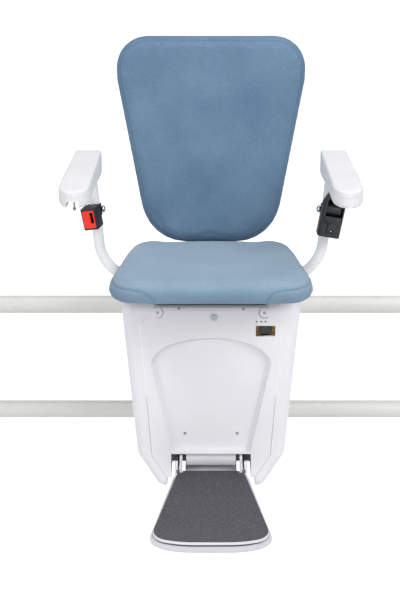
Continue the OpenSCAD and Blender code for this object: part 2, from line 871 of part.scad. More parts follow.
// Swivel
module swivel_post() {
    color(col_steel)
        union() {
            bar_z([0, swivel_y, chassis_top], swivel_flange_r, swivel_flange_t);
            bar_z([0, swivel_y, chassis_top], swivel_r, frame_z + part_gap - chassis_top);
            bar_z([0, swivel_y, frame_z + part_gap], swivel_head_r, swivel_head_t);
        }
}
module swivel_bearing() {
    color("#C9CCD1")
        difference() {
            bar_z([0, swivel_y, chassis_top + swivel_flange_t], bearing_r,
                swivel_z - chassis_top - swivel_flange_t - part_gap);
            bar_z([0, swivel_y, chassis_top], swivel_r + run_fit, swivel_z - chassis_top);
        }
}
module swivel_plate() {
    color("#8C9197")
        difference() {
            bar_z([0, swivel_y, swivel_z], swivel_plate_r, swivel_plate_t);
            bar_z([0, swivel_y, swivel_z - cut_over], swivel_r + run_fit, swivel_plate_t + 2 * cut_over);
        }
}

// Seat frame: plate, tube saddles and hinge ears
ear_rear = pivot_y + hinge_eye_r;
module seat_frame() {
    color("#8C9197")
        difference() {
            union() {
                translate([0, 0, frame_z])
                    linear_extrude(frame_t)
                        polygon(rounded([[-frame_half, frame_front], [frame_half, frame_front],
                            [frame_half, frame_rear], [-frame_half, frame_rear]],
                            [chassis_corner_r, chassis_corner_r, hinge_eye_r, hinge_eye_r]));
                pair() {
                    block([tube_in, tube_y - saddle_depth / 2, frame_z],
                        [tube_in + saddle_len, tube_y + saddle_depth / 2, saddle_top]);
                    block([hinge_x, pivot_y - hinge_eye_r, frame_z], [hinge_x + hinge_t, ear_rear, pivot_z]);
                    bar_x([hinge_x, pivot_y, pivot_z], hinge_eye_r, hinge_t);
                }
            }
            bar_z([0, swivel_y, frame_z - cut_over], swivel_head_r + 2 * cut_over, frame_t + 2 * cut_over);
            bar_z([lever_pivot_x, lever_y, frame_z - cut_over], lever_pin_r + run_fit, frame_t + 2 * cut_over);
            pair() {
                bar_x([tube_in, tube_y, tube_z], tube_r + run_fit, frame_half);
                block([tube_in, tube_y - tube_r - run_fit, frame_z - cut_over],
                    [tube_in + frame_half, tube_y + tube_r + run_fit, tube_z]);
                bar_x([hinge_x - cut_over, pivot_y, pivot_z], hinge_pin_r + run_fit, hinge_t + 2 * cut_over);
            }
        }
}
module seat_hinge_pins() {
    pair() {
        bar_x([hinge_x - cheek_gap - cheek_t, pivot_y, pivot_z], hinge_pin_r,
            hinge_t + 2 * (cheek_gap + cheek_t));
        bar_x([hinge_x + hinge_t + cheek_gap + cheek_t, pivot_y, pivot_z], hinge_pin_r + axle_head / 2,
            axle_head / 2);
    }
}
module hinge_pins() {
    color(col_steel) {
        seat_hinge_pins();
        arm_pivot_pins();
    }
}

// Arm tubes: level run in the saddle, bend, and the leaning upright
tube_top_x = tube_bend_x + tube_bend_r * sin(tube_turn);
tube_top_z = tube_z + tube_bend_r * (1 - cos(tube_turn));
tube_lean = 90 - tube_turn;
tube_upright = (arm_pivot_z + 2 * arm_pivot_r - tube_top_z) / cos(tube_lean);
pivot_x = tube_top_x + (arm_pivot_z - tube_top_z) * tan(tube_lean);
module tube_path(r, over) {
    translate([tube_bend_x, tube_y, tube_z + tube_bend_r])
        rotate([90, 0, 0])
            rotate([0, 0, -90])
                union() {
                    rotate_extrude(angle = tube_turn, $fn = 96) translate([tube_bend_r, 0]) circle(r = r);
                    translate([tube_bend_r, 0, 0])
                        rotate([90, 0, 0]) cylinder(r = r, h = tube_bend_x - tube_in - tube_set_in + over);
                    rotate([0, 0, tube_turn])
                        translate([tube_bend_r, 0, 0])
                            rotate([-90, 0, 0]) cylinder(r = r, h = tube_upright + over);
                }
}
module arm_tube() {
    difference() {
        tube_path(tube_r, 0);
        tube_path(tube_r - arm_tube_wall, cut_over);
        bar_x([pivot_x - 2 * tube_r, tube_y, arm_pivot_z], arm_pivot_r + run_fit, 4 * tube_r);
    }
}
module right_arm_tube() {
    color("#F3F3F3") arm_tube();
}
module left_arm_tube() {
    color("#F3F3F3") mirror([1, 0, 0]) arm_tube();
}
module arm_pivot_pins() {
    half = tube_r + 4 * part_gap + fork_t + axle_head / 2;
    pair()
        bar_x([pivot_x - half, tube_y, arm_pivot_z], arm_pivot_r, 2 * half);
}

// Backrest: strap bracket, shell and cushion, in a frame that leans with the back
module back_place() {
    translate([0, back_y, seat_z]) rotate([-back_tilt, 0, 0]) children();
}
strap_y = back_t + shell_t + part_gap;
module backrest_bracket() {
    color("#8C9197")
        union() {
            block([-strap_half, frame_rear, frame_z], [strap_half, back_y + strap_y + strap_t, frame_z + frame_t]);
            difference() {
                back_place()
                    block([-strap_half, strap_y, -seat_z / 2], [strap_half, strap_y + strap_t, strap_top - seat_z]);
                block([-2 * strap_half, back_y - strap_y, -seat_z], [2 * strap_half, 4 * strap_y, frame_z]);
            }
        }
}
// Right half of the backrest outline: width, then height above the seat's rear edge
back_low = back_bottom - seat_z;
back_outline_shares = [[0.685, 0], [1, 0.793], [1.012, 1]];
back_radii_shares = [0.48, 0.3, 0.33];
function back_outline(inset, n) = rounded(
    mirrored([for (p = back_outline_shares)
        [p[0] * back_half - inset, back_low + p[1] * back_len + inset * (1 - 2 * p[1])]]),
    both([for (s = back_radii_shares) s * back_half - inset / 2]), n);
module backrest_shell() {
    color("#6F7C88")
        back_place()
            translate([0, back_t + shell_t, 0])
                rotate([90, 0, 0])
                    linear_extrude(shell_t - part_gap) polygon(back_outline(shell_inset, arc_steps));
}
// A cushion: bands draw in at the seams and the face is crowned
// Each layer is how far the outline draws in, then the height above the board
cushion_steps = 6;
seam_in = 1.6;
back_crown = 9;
function cushion_layers(t, crown) = [
    [5, 0], [1.5, t * 0.08], [0, t * 0.3], [0.4, t * 0.5], [2.2, t * 0.66], [3.6, t * 0.7],
    [4.2, t * 0.755], [5.6, t * 0.86], [9, t * 0.94], [17, t - crown * 0.14],
    [40, t - crown * 0.04], [86, t + crown * 0.1], [140, t + crown * 0.24]];
module backrest_cushion() {
    layers = cushion_layers(back_t - back_crown * 0.25, back_crown);
    color(col_fabric)
        back_place()
            translate([0, back_t, 0])
                rotate([90, 0, 0])
                    cushion_body(layers,
                        [for (l = layers) back_outline(min(l[0], crown_start), cushion_steps)],
                        [0, back_low + back_len * 0.55], back_half);
}
// Rings of a cushion from an outline that draws in layer by layer, then closes on a middle point
crown_start = 14;
module cushion_body(layers, outlines, mid, half) {
    rings = [for (k = [0:len(layers) - 1]) let (l = layers[k])
        [for (p = outlines[k])
            let (q = l[0] > crown_start ? mid + (p - mid) * (1 - (l[0] - crown_start) / half) : p)
                [q[0], q[1], l[1]]]];
    top = layers[len(layers) - 1][1] + seam_in / 4;
    skin(rings, [mid[0], mid[1], 0], [mid[0], mid[1], top]);
}

// Seat cushion and its board, in a frame that tilts with the seat
module seat_place() {
    translate([0, seat_y, seat_z]) rotate([-seat_tilt, 0, 0]) children();
}
seat_outline_shares = [[0.84, 0], [0.905, 0.23], [1, 0.8], [0.985, 0.985], [0.5, 1]];
seat_radii_shares = [0.2, 0.5, 0.5, 0.24, 1];
function seat_outline(inset, n) = rounded(
    mirrored([for (p = seat_outline_shares)
        [p[0] * seat_half - inset * min(1, 2 * p[0]), -p[1] * seat_len - inset * (1 - 2 * p[1])]]),
    both([for (s = seat_radii_shares) s * seat_half - inset / 2]), n);
seat_crown = 8;
module seat_cushion() {
    layers = cushion_layers(seat_t - board_t - part_gap - seat_crown * 0.25, seat_crown);
    color(col_fabric)
        difference() {
            seat_place()
                translate([0, 0, board_t + part_gap - seat_t])
                    cushion_body(layers,
                        [for (l = layers) seat_outline(min(l[0], crown_start), cushion_steps)],
                        [0, -seat_len * 0.5], seat_half);
            pair()
                hinge_pocket(part_gap);
        }
}
// Space that the ear sweeps as the seat folds: open below and to the rear
module hinge_pocket(grow) {
    block([pocket_in - grow, pivot_y - pocket_deep - grow, 0],
        [pocket_out + grow, 0, pivot_z + hinge_eye_r + 2 * cover_wall + grow]);
}
module seat_base() {
    cheek_in = hinge_x - cheek_gap - cheek_t;
    cheek_out = hinge_x + hinge_t + cheek_gap;
    color("#55595F")
        difference() {
            union() {
                difference() {
                    seat_place()
                        translate([0, 0, -seat_t])
                            linear_extrude(board_t) polygon(seat_outline(board_inset, arc_steps));
                    pair()
                        block([pocket_in, pivot_y - hinge_eye_r - part_gap - cover_wall, 0],
                            [pocket_out, 0, pivot_z]);
                }
                pair()
                    for (x = [cheek_in, cheek_out])
                        plate_yz(x, cheek_t)
                            polygon(rounded([
                                [pivot_y - pocket_deep, pivot_z - hinge_eye_r],
                                [pivot_y - pocket_deep / 4, pivot_z - 1.6 * hinge_eye_r],
                                [pivot_y + hinge_eye_r, pivot_z - hinge_eye_r],
                                [pivot_y + hinge_eye_r, pivot_z + hinge_eye_r],
                                [pivot_y - hinge_eye_r, pivot_z + hinge_eye_r]],
                                [0, 0, hinge_eye_r / 2, hinge_eye_r / 2, hinge_eye_r / 2]));
            }
            pair()
                bar_x([cheek_in - cut_over, pivot_y, pivot_z], hinge_pin_r + run_fit,
                    cheek_out - cheek_in + cheek_t + 2 * cut_over);
        }
}

// Armrests: a body lofted from rounded sections, split into an upper and a lower shell
// Each station: share of the length, share of the half width, share of the height kept above and below the middle
arm_depth = 54;
arm_station_shares = [
    [0, 0.86, 0.9, 0.9], [0.008, 0.92, 0.97, 1], [0.02, 0.94, 1, 1.04], [0.1, 0.95, 1, 1.04],
    [0.25, 0.96, 1, 0.92], [0.43, 0.98, 1, 0.64], [0.7, 1, 1, 0.52], [0.87, 1, 0.92, 0.5],
    [0.91, 0.96, 0.9, 0.49], [0.945, 0.84, 0.885, 0.48], [0.972, 0.64, 0.87, 0.47], [0.99, 0.4, 0.84, 0.45],
    [1, 0.14, 0.76, 0.4]];
arm_mid_z = arm_top - arm_depth / 2;
arm_edge_r = 5;
arm_under_r = 9;
arm_ring_steps = 4;
function arm_ring(s, inset) =
    let (
        w = s[1] * arm_half - inset,
        up = s[2] * arm_depth / 2 - inset,
        down = s[3] * arm_depth / 2 - inset,
        top_r = min(arm_edge_r - inset / 2, w * 0.8),
        low_r = min(arm_under_r - inset, w * 0.8, down * 0.9),
        along = max(inset, min(arm_len - inset, s[0] * arm_len))
    )
    [for (p = rounded([[-w, -down], [w, -down], [w, up], [-w, up]], [low_r, low_r, top_r, top_r], arm_ring_steps))
        [p[0], tube_y + arm_rear - along, arm_mid_z + p[1]]];
module arm_body(inset) {
    rings = [for (s = arm_station_shares) arm_ring(s, inset)];
    skin(rings, [0, rings[0][0][1], arm_mid_z], [0, rings[len(rings) - 1][0][1], arm_mid_z]);
}
// The parting line, from low at the rear up to just under the top, and along it to the front
// Each point: share of the length, share of the half depth above the middle
arm_part_shares = [[-0.1, -0.6], [0.16, -0.56], [0.3, -0.2], [0.42, 0.3], [0.54, 0.5], [0.7, 0.5],
    [0.9, 0.38], [1.1, 0.34]];
module arm_split(lift) {
    plate_yz(-2 * arm_half, 4 * arm_half)
        polygon(concat(
            [for (p = arm_part_shares)
                [tube_y + arm_rear - p[0] * arm_len, arm_mid_z + p[1] * arm_depth / 2 + lift]],
            [[tube_y - arm_rear - 1.2 * arm_len, arm_mid_z + 2 * arm_depth],
                [tube_y + 3 * arm_rear, arm_mid_z + 2 * arm_depth]]));
}
arm_wall = 2.5;
shell_gap = 0.3;
arm_slot_half = 16.5;
module arm_shell() {
    difference() {
        arm_body(0);
        arm_body(arm_wall);
    }
}
module arm_upper(side) {
    color("#ECEBEF")
        translate([side * arm_x, 0, 0])
            difference() {
                intersection() {
                    arm_shell();
                    arm_split(shell_gap / 2);
                }
                arm_slot(side);
            }
}
// Slot for the tube, from below round to the rear
module arm_slot(side) {
    shift = pivot_x - arm_x;
    block([side * shift - arm_slot_half, tube_y - arm_slot_half, arm_mid_z - arm_depth],
        [side * shift + arm_slot_half, tube_y + 2 * arm_rear, arm_pivot_z + tube_r + 2 * part_gap]);
}
module arm_lower(side) {
    translate([side * arm_x, 0, 0])
        difference() {
            arm_shell();
            arm_split(-shell_gap / 2);
            arm_slot(side);
        }
}
// Scoop in the front of the left arm, which leaves a guard prong on either side of the toggle
prong_set_in = 38;
prong_y = tube_y + arm_rear - arm_len + prong_set_in;
scoop_half = 13;
scoop_rear = 34;
scoop_top = arm_mid_z + 2;
scoop_r = 6;
module scoop(grow) {
    rear = prong_y + scoop_rear + grow;
    bottom = arm_mid_z - arm_depth;
    plate_xz(prong_y - arm_len / 2, rear - prong_y + arm_len / 2)
        polygon(rounded([[-scoop_half - grow, bottom], [scoop_half + grow, bottom],
            [scoop_half + grow, scoop_top + grow], [-scoop_half - grow, scoop_top + grow]],
            [0, 0, scoop_r, scoop_r]));
}
module left_arm_lower_shell() {
    color("#ECEBEF")
        difference() {
            union() {
                arm_lower(-1);
                translate([-arm_x, 0, 0])
                    difference() {
                        intersection() {
                            arm_body(0);
                            scoop(arm_wall);
                        }
                        arm_split(-shell_gap / 2);
                    }
            }
            translate([-arm_x, 0, 0]) scoop(0);
            toggle_hole();
        }
}
module toggle_hole() {
    bar_z([-arm_x, prong_y, scoop_top - cut_over], toggle_bush_r + part_gap, arm_wall + 2 * cut_over);
}
module right_arm_lower_shell() {
    color("#ECEBEF") arm_lower(1);
}
module left_arm_upper_shell() {
    arm_upper(-1);
}
module right_arm_upper_shell() {
    arm_upper(1);
}
// Hinge block: a fork round the tube's top, screwed inside the upper shell
fork_t = 5;
fork_front = 60;
module hinge_block() {
    inner = tube_r + 4 * part_gap;
    up = arm_mid_z + arm_depth / 2 - arm_wall - part_gap;
    color("#6E7278")
        difference() {
            union() {
                for (side = [-1, 1])
                    block([pivot_x + side * (inner + fork_t / 2) - fork_t / 2, tube_y - fork_front / 2,
                        arm_pivot_z - 2 * arm_pivot_r],
                        [pivot_x + side * (inner + fork_t / 2) + fork_t / 2, tube_y + 2 * arm_pivot_r,
                            arm_pivot_z + 2 * arm_pivot_r]);
                block([pivot_x - inner - fork_t, tube_y - fork_front, arm_pivot_z - 2 * arm_pivot_r],
                    [pivot_x + inner + fork_t, tube_y - tube_r - 2 * arm_pivot_r, up]);
            }
            bar_x([pivot_x - 3 * inner, tube_y, arm_pivot_z], arm_pivot_r + run_fit, 6 * inner);
        }
}
module right_arm_hinge_block() {
    hinge_block();
}
module left_arm_hinge_block() {
    mirror([1, 0, 0]) hinge_block();
}
// Toggle switch inside the arm, with its lever hanging between the prongs
toggle_r = 2;
toggle_ball_r = 3.8;
toggle_len = 27;
toggle_pivot_r = 3.2;
toggle_bush_r = 5.5;
toggle_bore_r = 3.6;
toggle_bush_len = 6;
toggle_body = [14, 20, 12];
toggle_z = scoop_top + arm_wall + part_gap;
module toggle_switch() {
    color("#3B3D43")
        translate([-arm_x, prong_y, toggle_z])
            difference() {
                union() {
                    block([-toggle_body[0] / 2, -toggle_body[1] / 2, 0],
                        [toggle_body[0] / 2, toggle_body[1] / 2, toggle_body[2]]);
                    bar_z([0, 0, -toggle_bush_len], toggle_bush_r, toggle_bush_len + cut_over);
                }
                bar_z([0, 0, -toggle_bush_len - cut_over], toggle_bore_r,
                    toggle_bush_len + 2 * toggle_pivot_r);
            }
}
module toggle_lever() {
    color("#B9BDC2")
        translate([-arm_x, prong_y, toggle_z])
            union() {
                sphere(r = toggle_pivot_r, $fn = 32);
                bar_z([0, 0, -toggle_len], toggle_r, toggle_len);
                translate([0, 0, -toggle_len]) sphere(r = toggle_ball_r, $fn = 32);
            }
}

// Belt buckle on the left tube, and its clamp
buckle_w = 34;
buckle_h = 48;
buckle_d = 40;
buckle_x = 266;
buckle_y = -256;
buckle_z = 302;
buckle_yaw = 14;
buckle_lean = 10;
buckle_r = 4;
button_w = 28;
button_h = 40;
button_t = 6;
button_travel = 4;
slot_w = 7;
slot_h = 24;
slot_deep = 26;
slot_x = 7;
slot_z = 3;
clamp_h = 26;
clamp_t = 3;
belt_bolt_r = 6;
belt_bolt_z = 308;
function upright_x(z) = tube_top_x + (z - tube_top_z) * tan(tube_lean);
module on_upright(side, z) {
    translate([side * upright_x(z), tube_y, z]) rotate([0, side * tube_lean, 0]) children();
}
module clamp_ring() {
    difference() {
        translate([0, 0, -clamp_h / 2]) cylinder(r = tube_r + clamp_t, h = clamp_h);
        translate([0, 0, -clamp_h / 2 - cut_over]) cylinder(r = tube_r + run_fit, h = clamp_h + 2 * cut_over);
    }
}
module buckle_place() {
    translate([-buckle_x, buckle_y, buckle_z])
        rotate([0, -buckle_lean, 0])
            rotate([0, 0, -buckle_yaw]) children();
}
module buckle_clamp() {
    union() {
        on_upright(-1, belt_bolt_z) clamp_ring();
        difference() {
            on_upright(-1, belt_bolt_z)
                block([-tube_r * 0.6, -tube_r - clamp_t - buckle_w * 0.4, -clamp_h * 0.35],
                    [tube_r * 0.6, -tube_r - run_fit, clamp_h * 0.35]);
            buckle_place()
                block([-buckle_w, -buckle_d, -buckle_h], [buckle_w, buckle_d / 2 + run_fit, buckle_h]);
        }
        on_upright(-1, belt_bolt_z)
            bar_x([tube_r + clamp_t - cut_over, 0, 0], belt_bolt_r, clamp_t + cut_over);
    }
}
module rounded_bar(w, d, h, r) {
    linear_extrude(h)
        polygon(rounded([[-w / 2, -d / 2], [w / 2, -d / 2], [w / 2, d / 2], [-w / 2, d / 2]], [r, r, r, r]));
}
module buckle_body() {
    color("#32353B")
        buckle_place()
            difference() {
                translate([0, 0, -buckle_h / 2]) rounded_bar(buckle_w, buckle_d, buckle_h, buckle_r);
                block([-button_w / 2 - part_gap, -buckle_d, -button_h / 2 - part_gap],
                    [button_w / 2 + part_gap, -buckle_d / 2 + button_t + button_travel, button_h / 2 + part_gap]);
                tongue_slot(0);
            }
}
// Slot for the tongue, through the button and on into the body
module tongue_slot(grow) {
    block([slot_x - slot_w / 2 - grow, -buckle_d, slot_z - slot_h / 2 - grow],
        [slot_x + slot_w / 2 + grow, slot_deep - buckle_d / 2, slot_z + slot_h / 2 + grow]);
}
module buckle_button() {
    color("#FF3B20")
        buckle_place()
            difference() {
                block([-button_w / 2, -buckle_d / 2 - button_travel / 4, -button_h / 2],
                    [button_w / 2, -buckle_d / 2 + button_t, button_h / 2]);
                tongue_slot(part_gap);
            }
}

// Belt reel on the right tube: bracket, hollow case, spool, and the parked tongue
reel_w = 50;
reel_d = 45;
reel_h = 105;
reel_x = 271;
reel_z = 312;
reel_lean = 10;
reel_wall = 2.5;
reel_r = 9;
spool_r = 15;
spool_core_r = 5;
spool_z = 5.6;
reel_cut_share = [0.36, 0.34];
reel_window = [-16.5, -13, 21, 34];
web_w = 34;
web_t = 1.2;
web_z = -10.6;
web_x = 2;
web_back = 18;
tongue_w = 40;
tongue_bar = 14;
tongue_tip_w = 19;
tongue_h = 38;
tongue_t = 3;
module reel_place() {
    translate([reel_x, tube_y - tube_r - clamp_t - reel_d / 2, reel_z])
        rotate([0, reel_lean, 0]) children();
}
module reel_bracket() {
    union() {
        on_upright(1, belt_bolt_z) clamp_ring();
        difference() {
            on_upright(1, belt_bolt_z)
                block([-tube_r * 0.6, -tube_r - 2 * clamp_t, -clamp_h * 0.4],
                    [tube_r * 0.6, -tube_r - run_fit, clamp_h * 0.4]);
            reel_place()
                block([-reel_w, -2 * reel_d, -reel_h], [reel_w, reel_d / 2 + run_fit, reel_h]);
        }
        on_upright(1, belt_bolt_z)
            bar_x([-tube_r - 2 * clamp_t, 0, 0], belt_bolt_r, clamp_t + cut_over);
    }
}
module belt_brackets() {
    color(col_dark) {
        buckle_clamp();
        reel_bracket();
    }
}
// The case narrows at its upper inner corner
function reel_outline(inset) = [
    [inset - reel_w / 2, inset - reel_h / 2], [reel_w / 2 - inset, inset - reel_h / 2],
    [reel_w / 2 - inset, reel_h / 2 - inset], [inset + reel_w * (reel_cut_share[0] - 0.5), reel_h / 2 - inset],
    [inset - reel_w / 2, reel_h * (0.5 - reel_cut_share[1]) - inset]];
module reel_form(inset) {
    intersection() {
        translate([0, 0, -reel_h / 2])
            rounded_bar(reel_w - 2 * inset, reel_d - 2 * inset, reel_h, reel_r - inset);
        plate_xz(-reel_d, 2 * reel_d) polygon(reel_outline(inset));
    }
}
module reel_case() {
    color("#23262B")
        reel_place()
            difference() {
                reel_form(0);
                reel_form(reel_wall);
                // Window over the spool, where the belt comes out
                block([reel_window[0], -reel_d, reel_window[1]],
                    [reel_window[2], 2 * reel_wall - reel_d / 2, reel_window[3]]);
                // Bore for the spool's shaft
                bar_x([-reel_w, 0, spool_z], spool_core_r + run_fit, 2 * reel_w);
            }
}
module reel_spool() {
    color("#4A4C52")
        reel_place()
            union() {
                bar_x([-web_w / 2, 0, spool_z], spool_r, web_w);
                bar_x([-reel_w / 2, 0, spool_z], spool_core_r, reel_w);
            }
}
module belt_tongue() {
    face = -reel_d / 2 - part_gap - tongue_t;
    color("#2A2C31")
        reel_place()
            translate([web_x, 0, 0])
                union() {
                    block([-web_w / 2, face + tongue_t / 2, web_z],
                        [web_w / 2, web_back, web_z + web_t]);
                    difference() {
                        plate_xz(face, tongue_t)
                            polygon(rounded(mirrored([[tongue_w / 2, web_z + tongue_bar / 2],
                                [tongue_w / 2, web_z - tongue_bar / 2],
                                [tongue_tip_w / 2, web_z - tongue_bar / 2 - tongue_t],
                                [tongue_tip_w / 2, web_z - tongue_h]]),
                                both([tongue_bar / 3, tongue_bar / 3, 0, tongue_t])));
                        block([-tongue_tip_w / 4, face - tongue_t, web_z - tongue_h * 0.85],
                            [tongue_tip_w / 4, face + 2 * tongue_t, web_z - tongue_h * 0.6]);
                    }
                }
}

// Swivel release lever under the seat, on the right
lever_y = -262;
lever_pivot_x = 96;
lever_w = 16;
lever_t = 5;
lever_out = 196;
lever_in = 44;
lever_pin_r = 5;
module swivel_lever() {
    z = frame_z + frame_t + part_gap;
    color(col_dark)
        union() {
            translate([0, 0, z])
                linear_extrude(lever_t)
                    polygon(rounded([[lever_in, lever_y - lever_w / 2], [lever_out, lever_y - lever_w / 2],
                        [lever_out, lever_y + lever_w / 2], [lever_in, lever_y + lever_w / 2]],
                        [lever_t, lever_t, lever_t, lever_t]));
            bar_z([lever_pivot_x, lever_y, frame_z + part_gap], lever_pin_r, frame_t + lever_t);
        }
}

// Footrest
foot_top = foot_z + foot_plate_t / 2;
mat_front_y = mat_rear_y - mat_len;
function mat_outline(grow, tip) = rounded(
    mirrored([[mat_rear_half + grow, mat_rear_y + grow],
        [mat_half + grow, mat_front_y + mat_bow - grow - tip], [mat_half * 0.5, mat_front_y - grow - tip]]),
    both([mat_rear_r, mat_corner_r + grow / 2, mat_half * 1.4]), arc_steps);
module foot_plate() {
    color(col_cover)
        difference() {
            union() {
                translate([0, 0, foot_z - foot_plate_t / 2])
                    linear_extrude(foot_plate_t) polygon(mat_outline(mat_inset, 0));
                foot_hinge_arms();
            }
            // Room for the bracket between the two hinge arms
            pair()
                block([inner_arm_x + inner_arm_t, foot_y - hinge_eye_r - cover_wall, foot_z - foot_plate_t],
                    [outer_arm_x, 0, foot_z + foot_plate_t]);
            foot_guides(guide_r + 4 * run_fit, foot_z - foot_plate_t / 2 - cut_over,
                foot_plate_t + 2 * cut_over);
            pair()
                bar_x([inner_arm_x - cut_over, foot_y, foot_z], foot_pin_r + run_fit,
                    outer_arm_x + outer_arm_t - inner_arm_x + 2 * cut_over);
        }
}
module foot_guides(r, z, h) {
    for (side = [-1, 1], p = guide_share)
        bar_z([side * p[1] * mat_half, mat_rear_y - p[0] * mat_len, z], r, h);
}
// Hinge arms of the foot plate, either side of the bracket from the chassis
module foot_hinge_arms() {
    low = foot_z - foot_plate_t / 2;
    pair()
        for (arm = [[inner_arm_x, inner_arm_t, foot_arm_top], [outer_arm_x, outer_arm_t, outer_arm_top]])
            plate_yz(arm[0], arm[1])
                polygon(rounded([[foot_y + foot_arm_w / 2, low], [foot_y + foot_arm_w / 2, foot_z + arm[2]],
                    [foot_y - foot_arm_w / 2, foot_z + arm[2]],
                    [foot_y - foot_arm_w / 2, foot_top], [foot_y - foot_arm_reach, foot_top],
                    [foot_y - foot_arm_reach, low]],
                    [foot_arm_w / 4, foot_arm_w / 4, foot_arm_w / 4, 0, 0, 0]));
}
module grit_mat() {
    color("#5B5B60")
        difference() {
            translate([0, 0, foot_top])
                linear_extrude(mat_t) polygon(mat_outline(0, 0));
            pair()
                block([inner_arm_x - part_gap, foot_y - hinge_eye_r - cover_wall, foot_z],
                    [outer_arm_x + outer_arm_t + part_gap, 0, foot_top + 2 * mat_t]);
        }
}
module safety_pan() {
    top = foot_z - foot_plate_t / 2 - pan_gap;
    outer = mat_outline(mat_inset + pan_tip / 2, pan_tip_front);
    inner = mat_outline(mat_inset + pan_tip / 2 - pan_slope, pan_tip_front);
    color("#E2E1E9")
        union() {
            difference() {
                hull() {
                    translate([0, 0, top - pan_depth / 3]) linear_extrude(pan_depth / 3) polygon(outer);
                    translate([0, 0, top - pan_depth]) linear_extrude(pan_wall) polygon(inner);
                }
                hull() {
                    translate([0, 0, top - pan_depth / 3])
                        linear_extrude(pan_depth)
                            polygon(mat_outline(mat_inset + pan_tip / 2 - pan_rim, pan_tip_front));
                    translate([0, 0, top - pan_depth + pan_wall])
                        linear_extrude(pan_wall)
                            polygon(mat_outline(mat_inset + pan_tip / 2 - pan_rim - pan_wall, pan_tip_front));
                }
                block([-mat_half, mat_rear_y + mat_inset, top - 2 * pan_depth], [mat_half, 0, top + pan_depth]);
                // Room for the hinge arms and brackets
                pair()
                    block([inner_arm_x - part_gap, foot_y - hinge_eye_r - cover_wall, top - 2 * pan_depth],
                        [outer_arm_x + outer_arm_t + part_gap, 0, top + pan_depth]);
            }
            foot_guides(guide_r, top - pan_depth + pan_wall / 2, pan_depth + pan_gap - part_gap);
        }
}
// Brackets from the chassis and the hinge pins
module footrest_brackets() {
    rear = chassis_front;
    color("#767B82")
        difference() {
            pair()
                plate_yz(bracket_x, bracket_t)
                    polygon(rounded([[rear, chassis_bottom + 2 * hinge_eye_r], [rear, battery_z - tray_t - part_gap],
                        [foot_y - hinge_eye_r, foot_z + hinge_eye_r], [foot_y - hinge_eye_r, foot_z - hinge_eye_r]],
                        [0, 0, hinge_eye_r / 2, hinge_eye_r / 2]));
            pair()
                bar_x([bracket_x - cut_over, foot_y, foot_z], foot_pin_r + run_fit, bracket_t + 2 * cut_over);
        }
}
module footrest_pins() {
    color(col_steel)
        pair()
            bar_x([inner_arm_x, foot_y, foot_z], foot_pin_r, outer_arm_x + outer_arm_t - inner_arm_x);
}
upper_rail();
lower_rail();
toothed_rack();
chassis_frame();
front_cover();
left_side_cover();
right_side_cover();
upper_bogie_bracket();
lower_bogie_bracket();
roller_axles();
drive_motor();
gearbox();
battery_tray();
batteries();
control_board();
switch_plate();
switch_housing();
indicator_leds();
cover_screws();
centre_bolt();
swivel_post();
swivel_bearing();
footrest_brackets();
footrest_pins();
left_hanger_roller();
right_hanger_roller();
drive_pinion();
left_thrust_roller();
right_thrust_roller();
left_keeper_roller();
right_keeper_roller();
power_rocker();
swivel_plate();
seat_frame();
left_arm_tube();
right_arm_tube();
backrest_bracket();
backrest_shell();
backrest_cushion();
hinge_pins();
belt_brackets();
buckle_body();
reel_case();
reel_spool();
swivel_lever();
seat_base();
seat_cushion();
left_arm_upper_shell();
left_arm_lower_shell();
left_arm_hinge_block();
right_arm_upper_shell();
right_arm_lower_shell();
right_arm_hinge_block();
toggle_switch();
toggle_lever();
buckle_button();
belt_tongue();
foot_plate();
grit_mat();
safety_pan();
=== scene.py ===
"""Looks of a stairlift chair on its twin rail tubes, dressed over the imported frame.

Every sub-assembly is a class that holds its sizes, builds its meshes and dresses them. Sizes are in
millimetres until they reach a mesh, where MM turns them to metres. The chair faces -Y and +Z is up.
"""

import json
import logging
import math
from contextlib import contextmanager
from dataclasses import dataclass, field
from enum import Enum
from functools import partial
from typing import Any, Iterator, Sequence

import bmesh
import bpy
import numpy as np
from mathutils import Matrix, Vector
from mathutils.bvhtree import BVHTree

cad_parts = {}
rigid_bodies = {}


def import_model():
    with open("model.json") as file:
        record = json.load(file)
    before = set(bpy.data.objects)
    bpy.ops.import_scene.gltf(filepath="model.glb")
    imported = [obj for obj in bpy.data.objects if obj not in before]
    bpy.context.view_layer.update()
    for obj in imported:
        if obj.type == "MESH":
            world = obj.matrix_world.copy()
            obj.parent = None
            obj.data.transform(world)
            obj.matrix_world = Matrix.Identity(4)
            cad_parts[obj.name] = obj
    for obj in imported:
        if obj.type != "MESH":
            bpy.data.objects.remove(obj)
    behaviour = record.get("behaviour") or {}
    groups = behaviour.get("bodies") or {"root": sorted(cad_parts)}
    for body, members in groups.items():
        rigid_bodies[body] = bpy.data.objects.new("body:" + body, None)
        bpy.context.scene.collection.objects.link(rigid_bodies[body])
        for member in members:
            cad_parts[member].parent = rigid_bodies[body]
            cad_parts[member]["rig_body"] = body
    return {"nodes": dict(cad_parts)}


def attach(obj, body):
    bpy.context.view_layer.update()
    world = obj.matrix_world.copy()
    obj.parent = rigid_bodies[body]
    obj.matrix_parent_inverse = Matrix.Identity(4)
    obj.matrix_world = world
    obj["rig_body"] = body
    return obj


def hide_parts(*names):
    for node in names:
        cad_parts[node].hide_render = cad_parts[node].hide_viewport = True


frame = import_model()

MM = 0.001
FAR = 1e9
SHARP_DEG = 40.0
Tree, Node, Socket = bpy.types.NodeTree, bpy.types.Node, bpy.types.NodeSocket
Mesh, Piece = bpy.types.Mesh, bpy.types.Object
Point = tuple[float, float, float]
log = logging.getLogger("stairlift")


# Colour and shader helpers


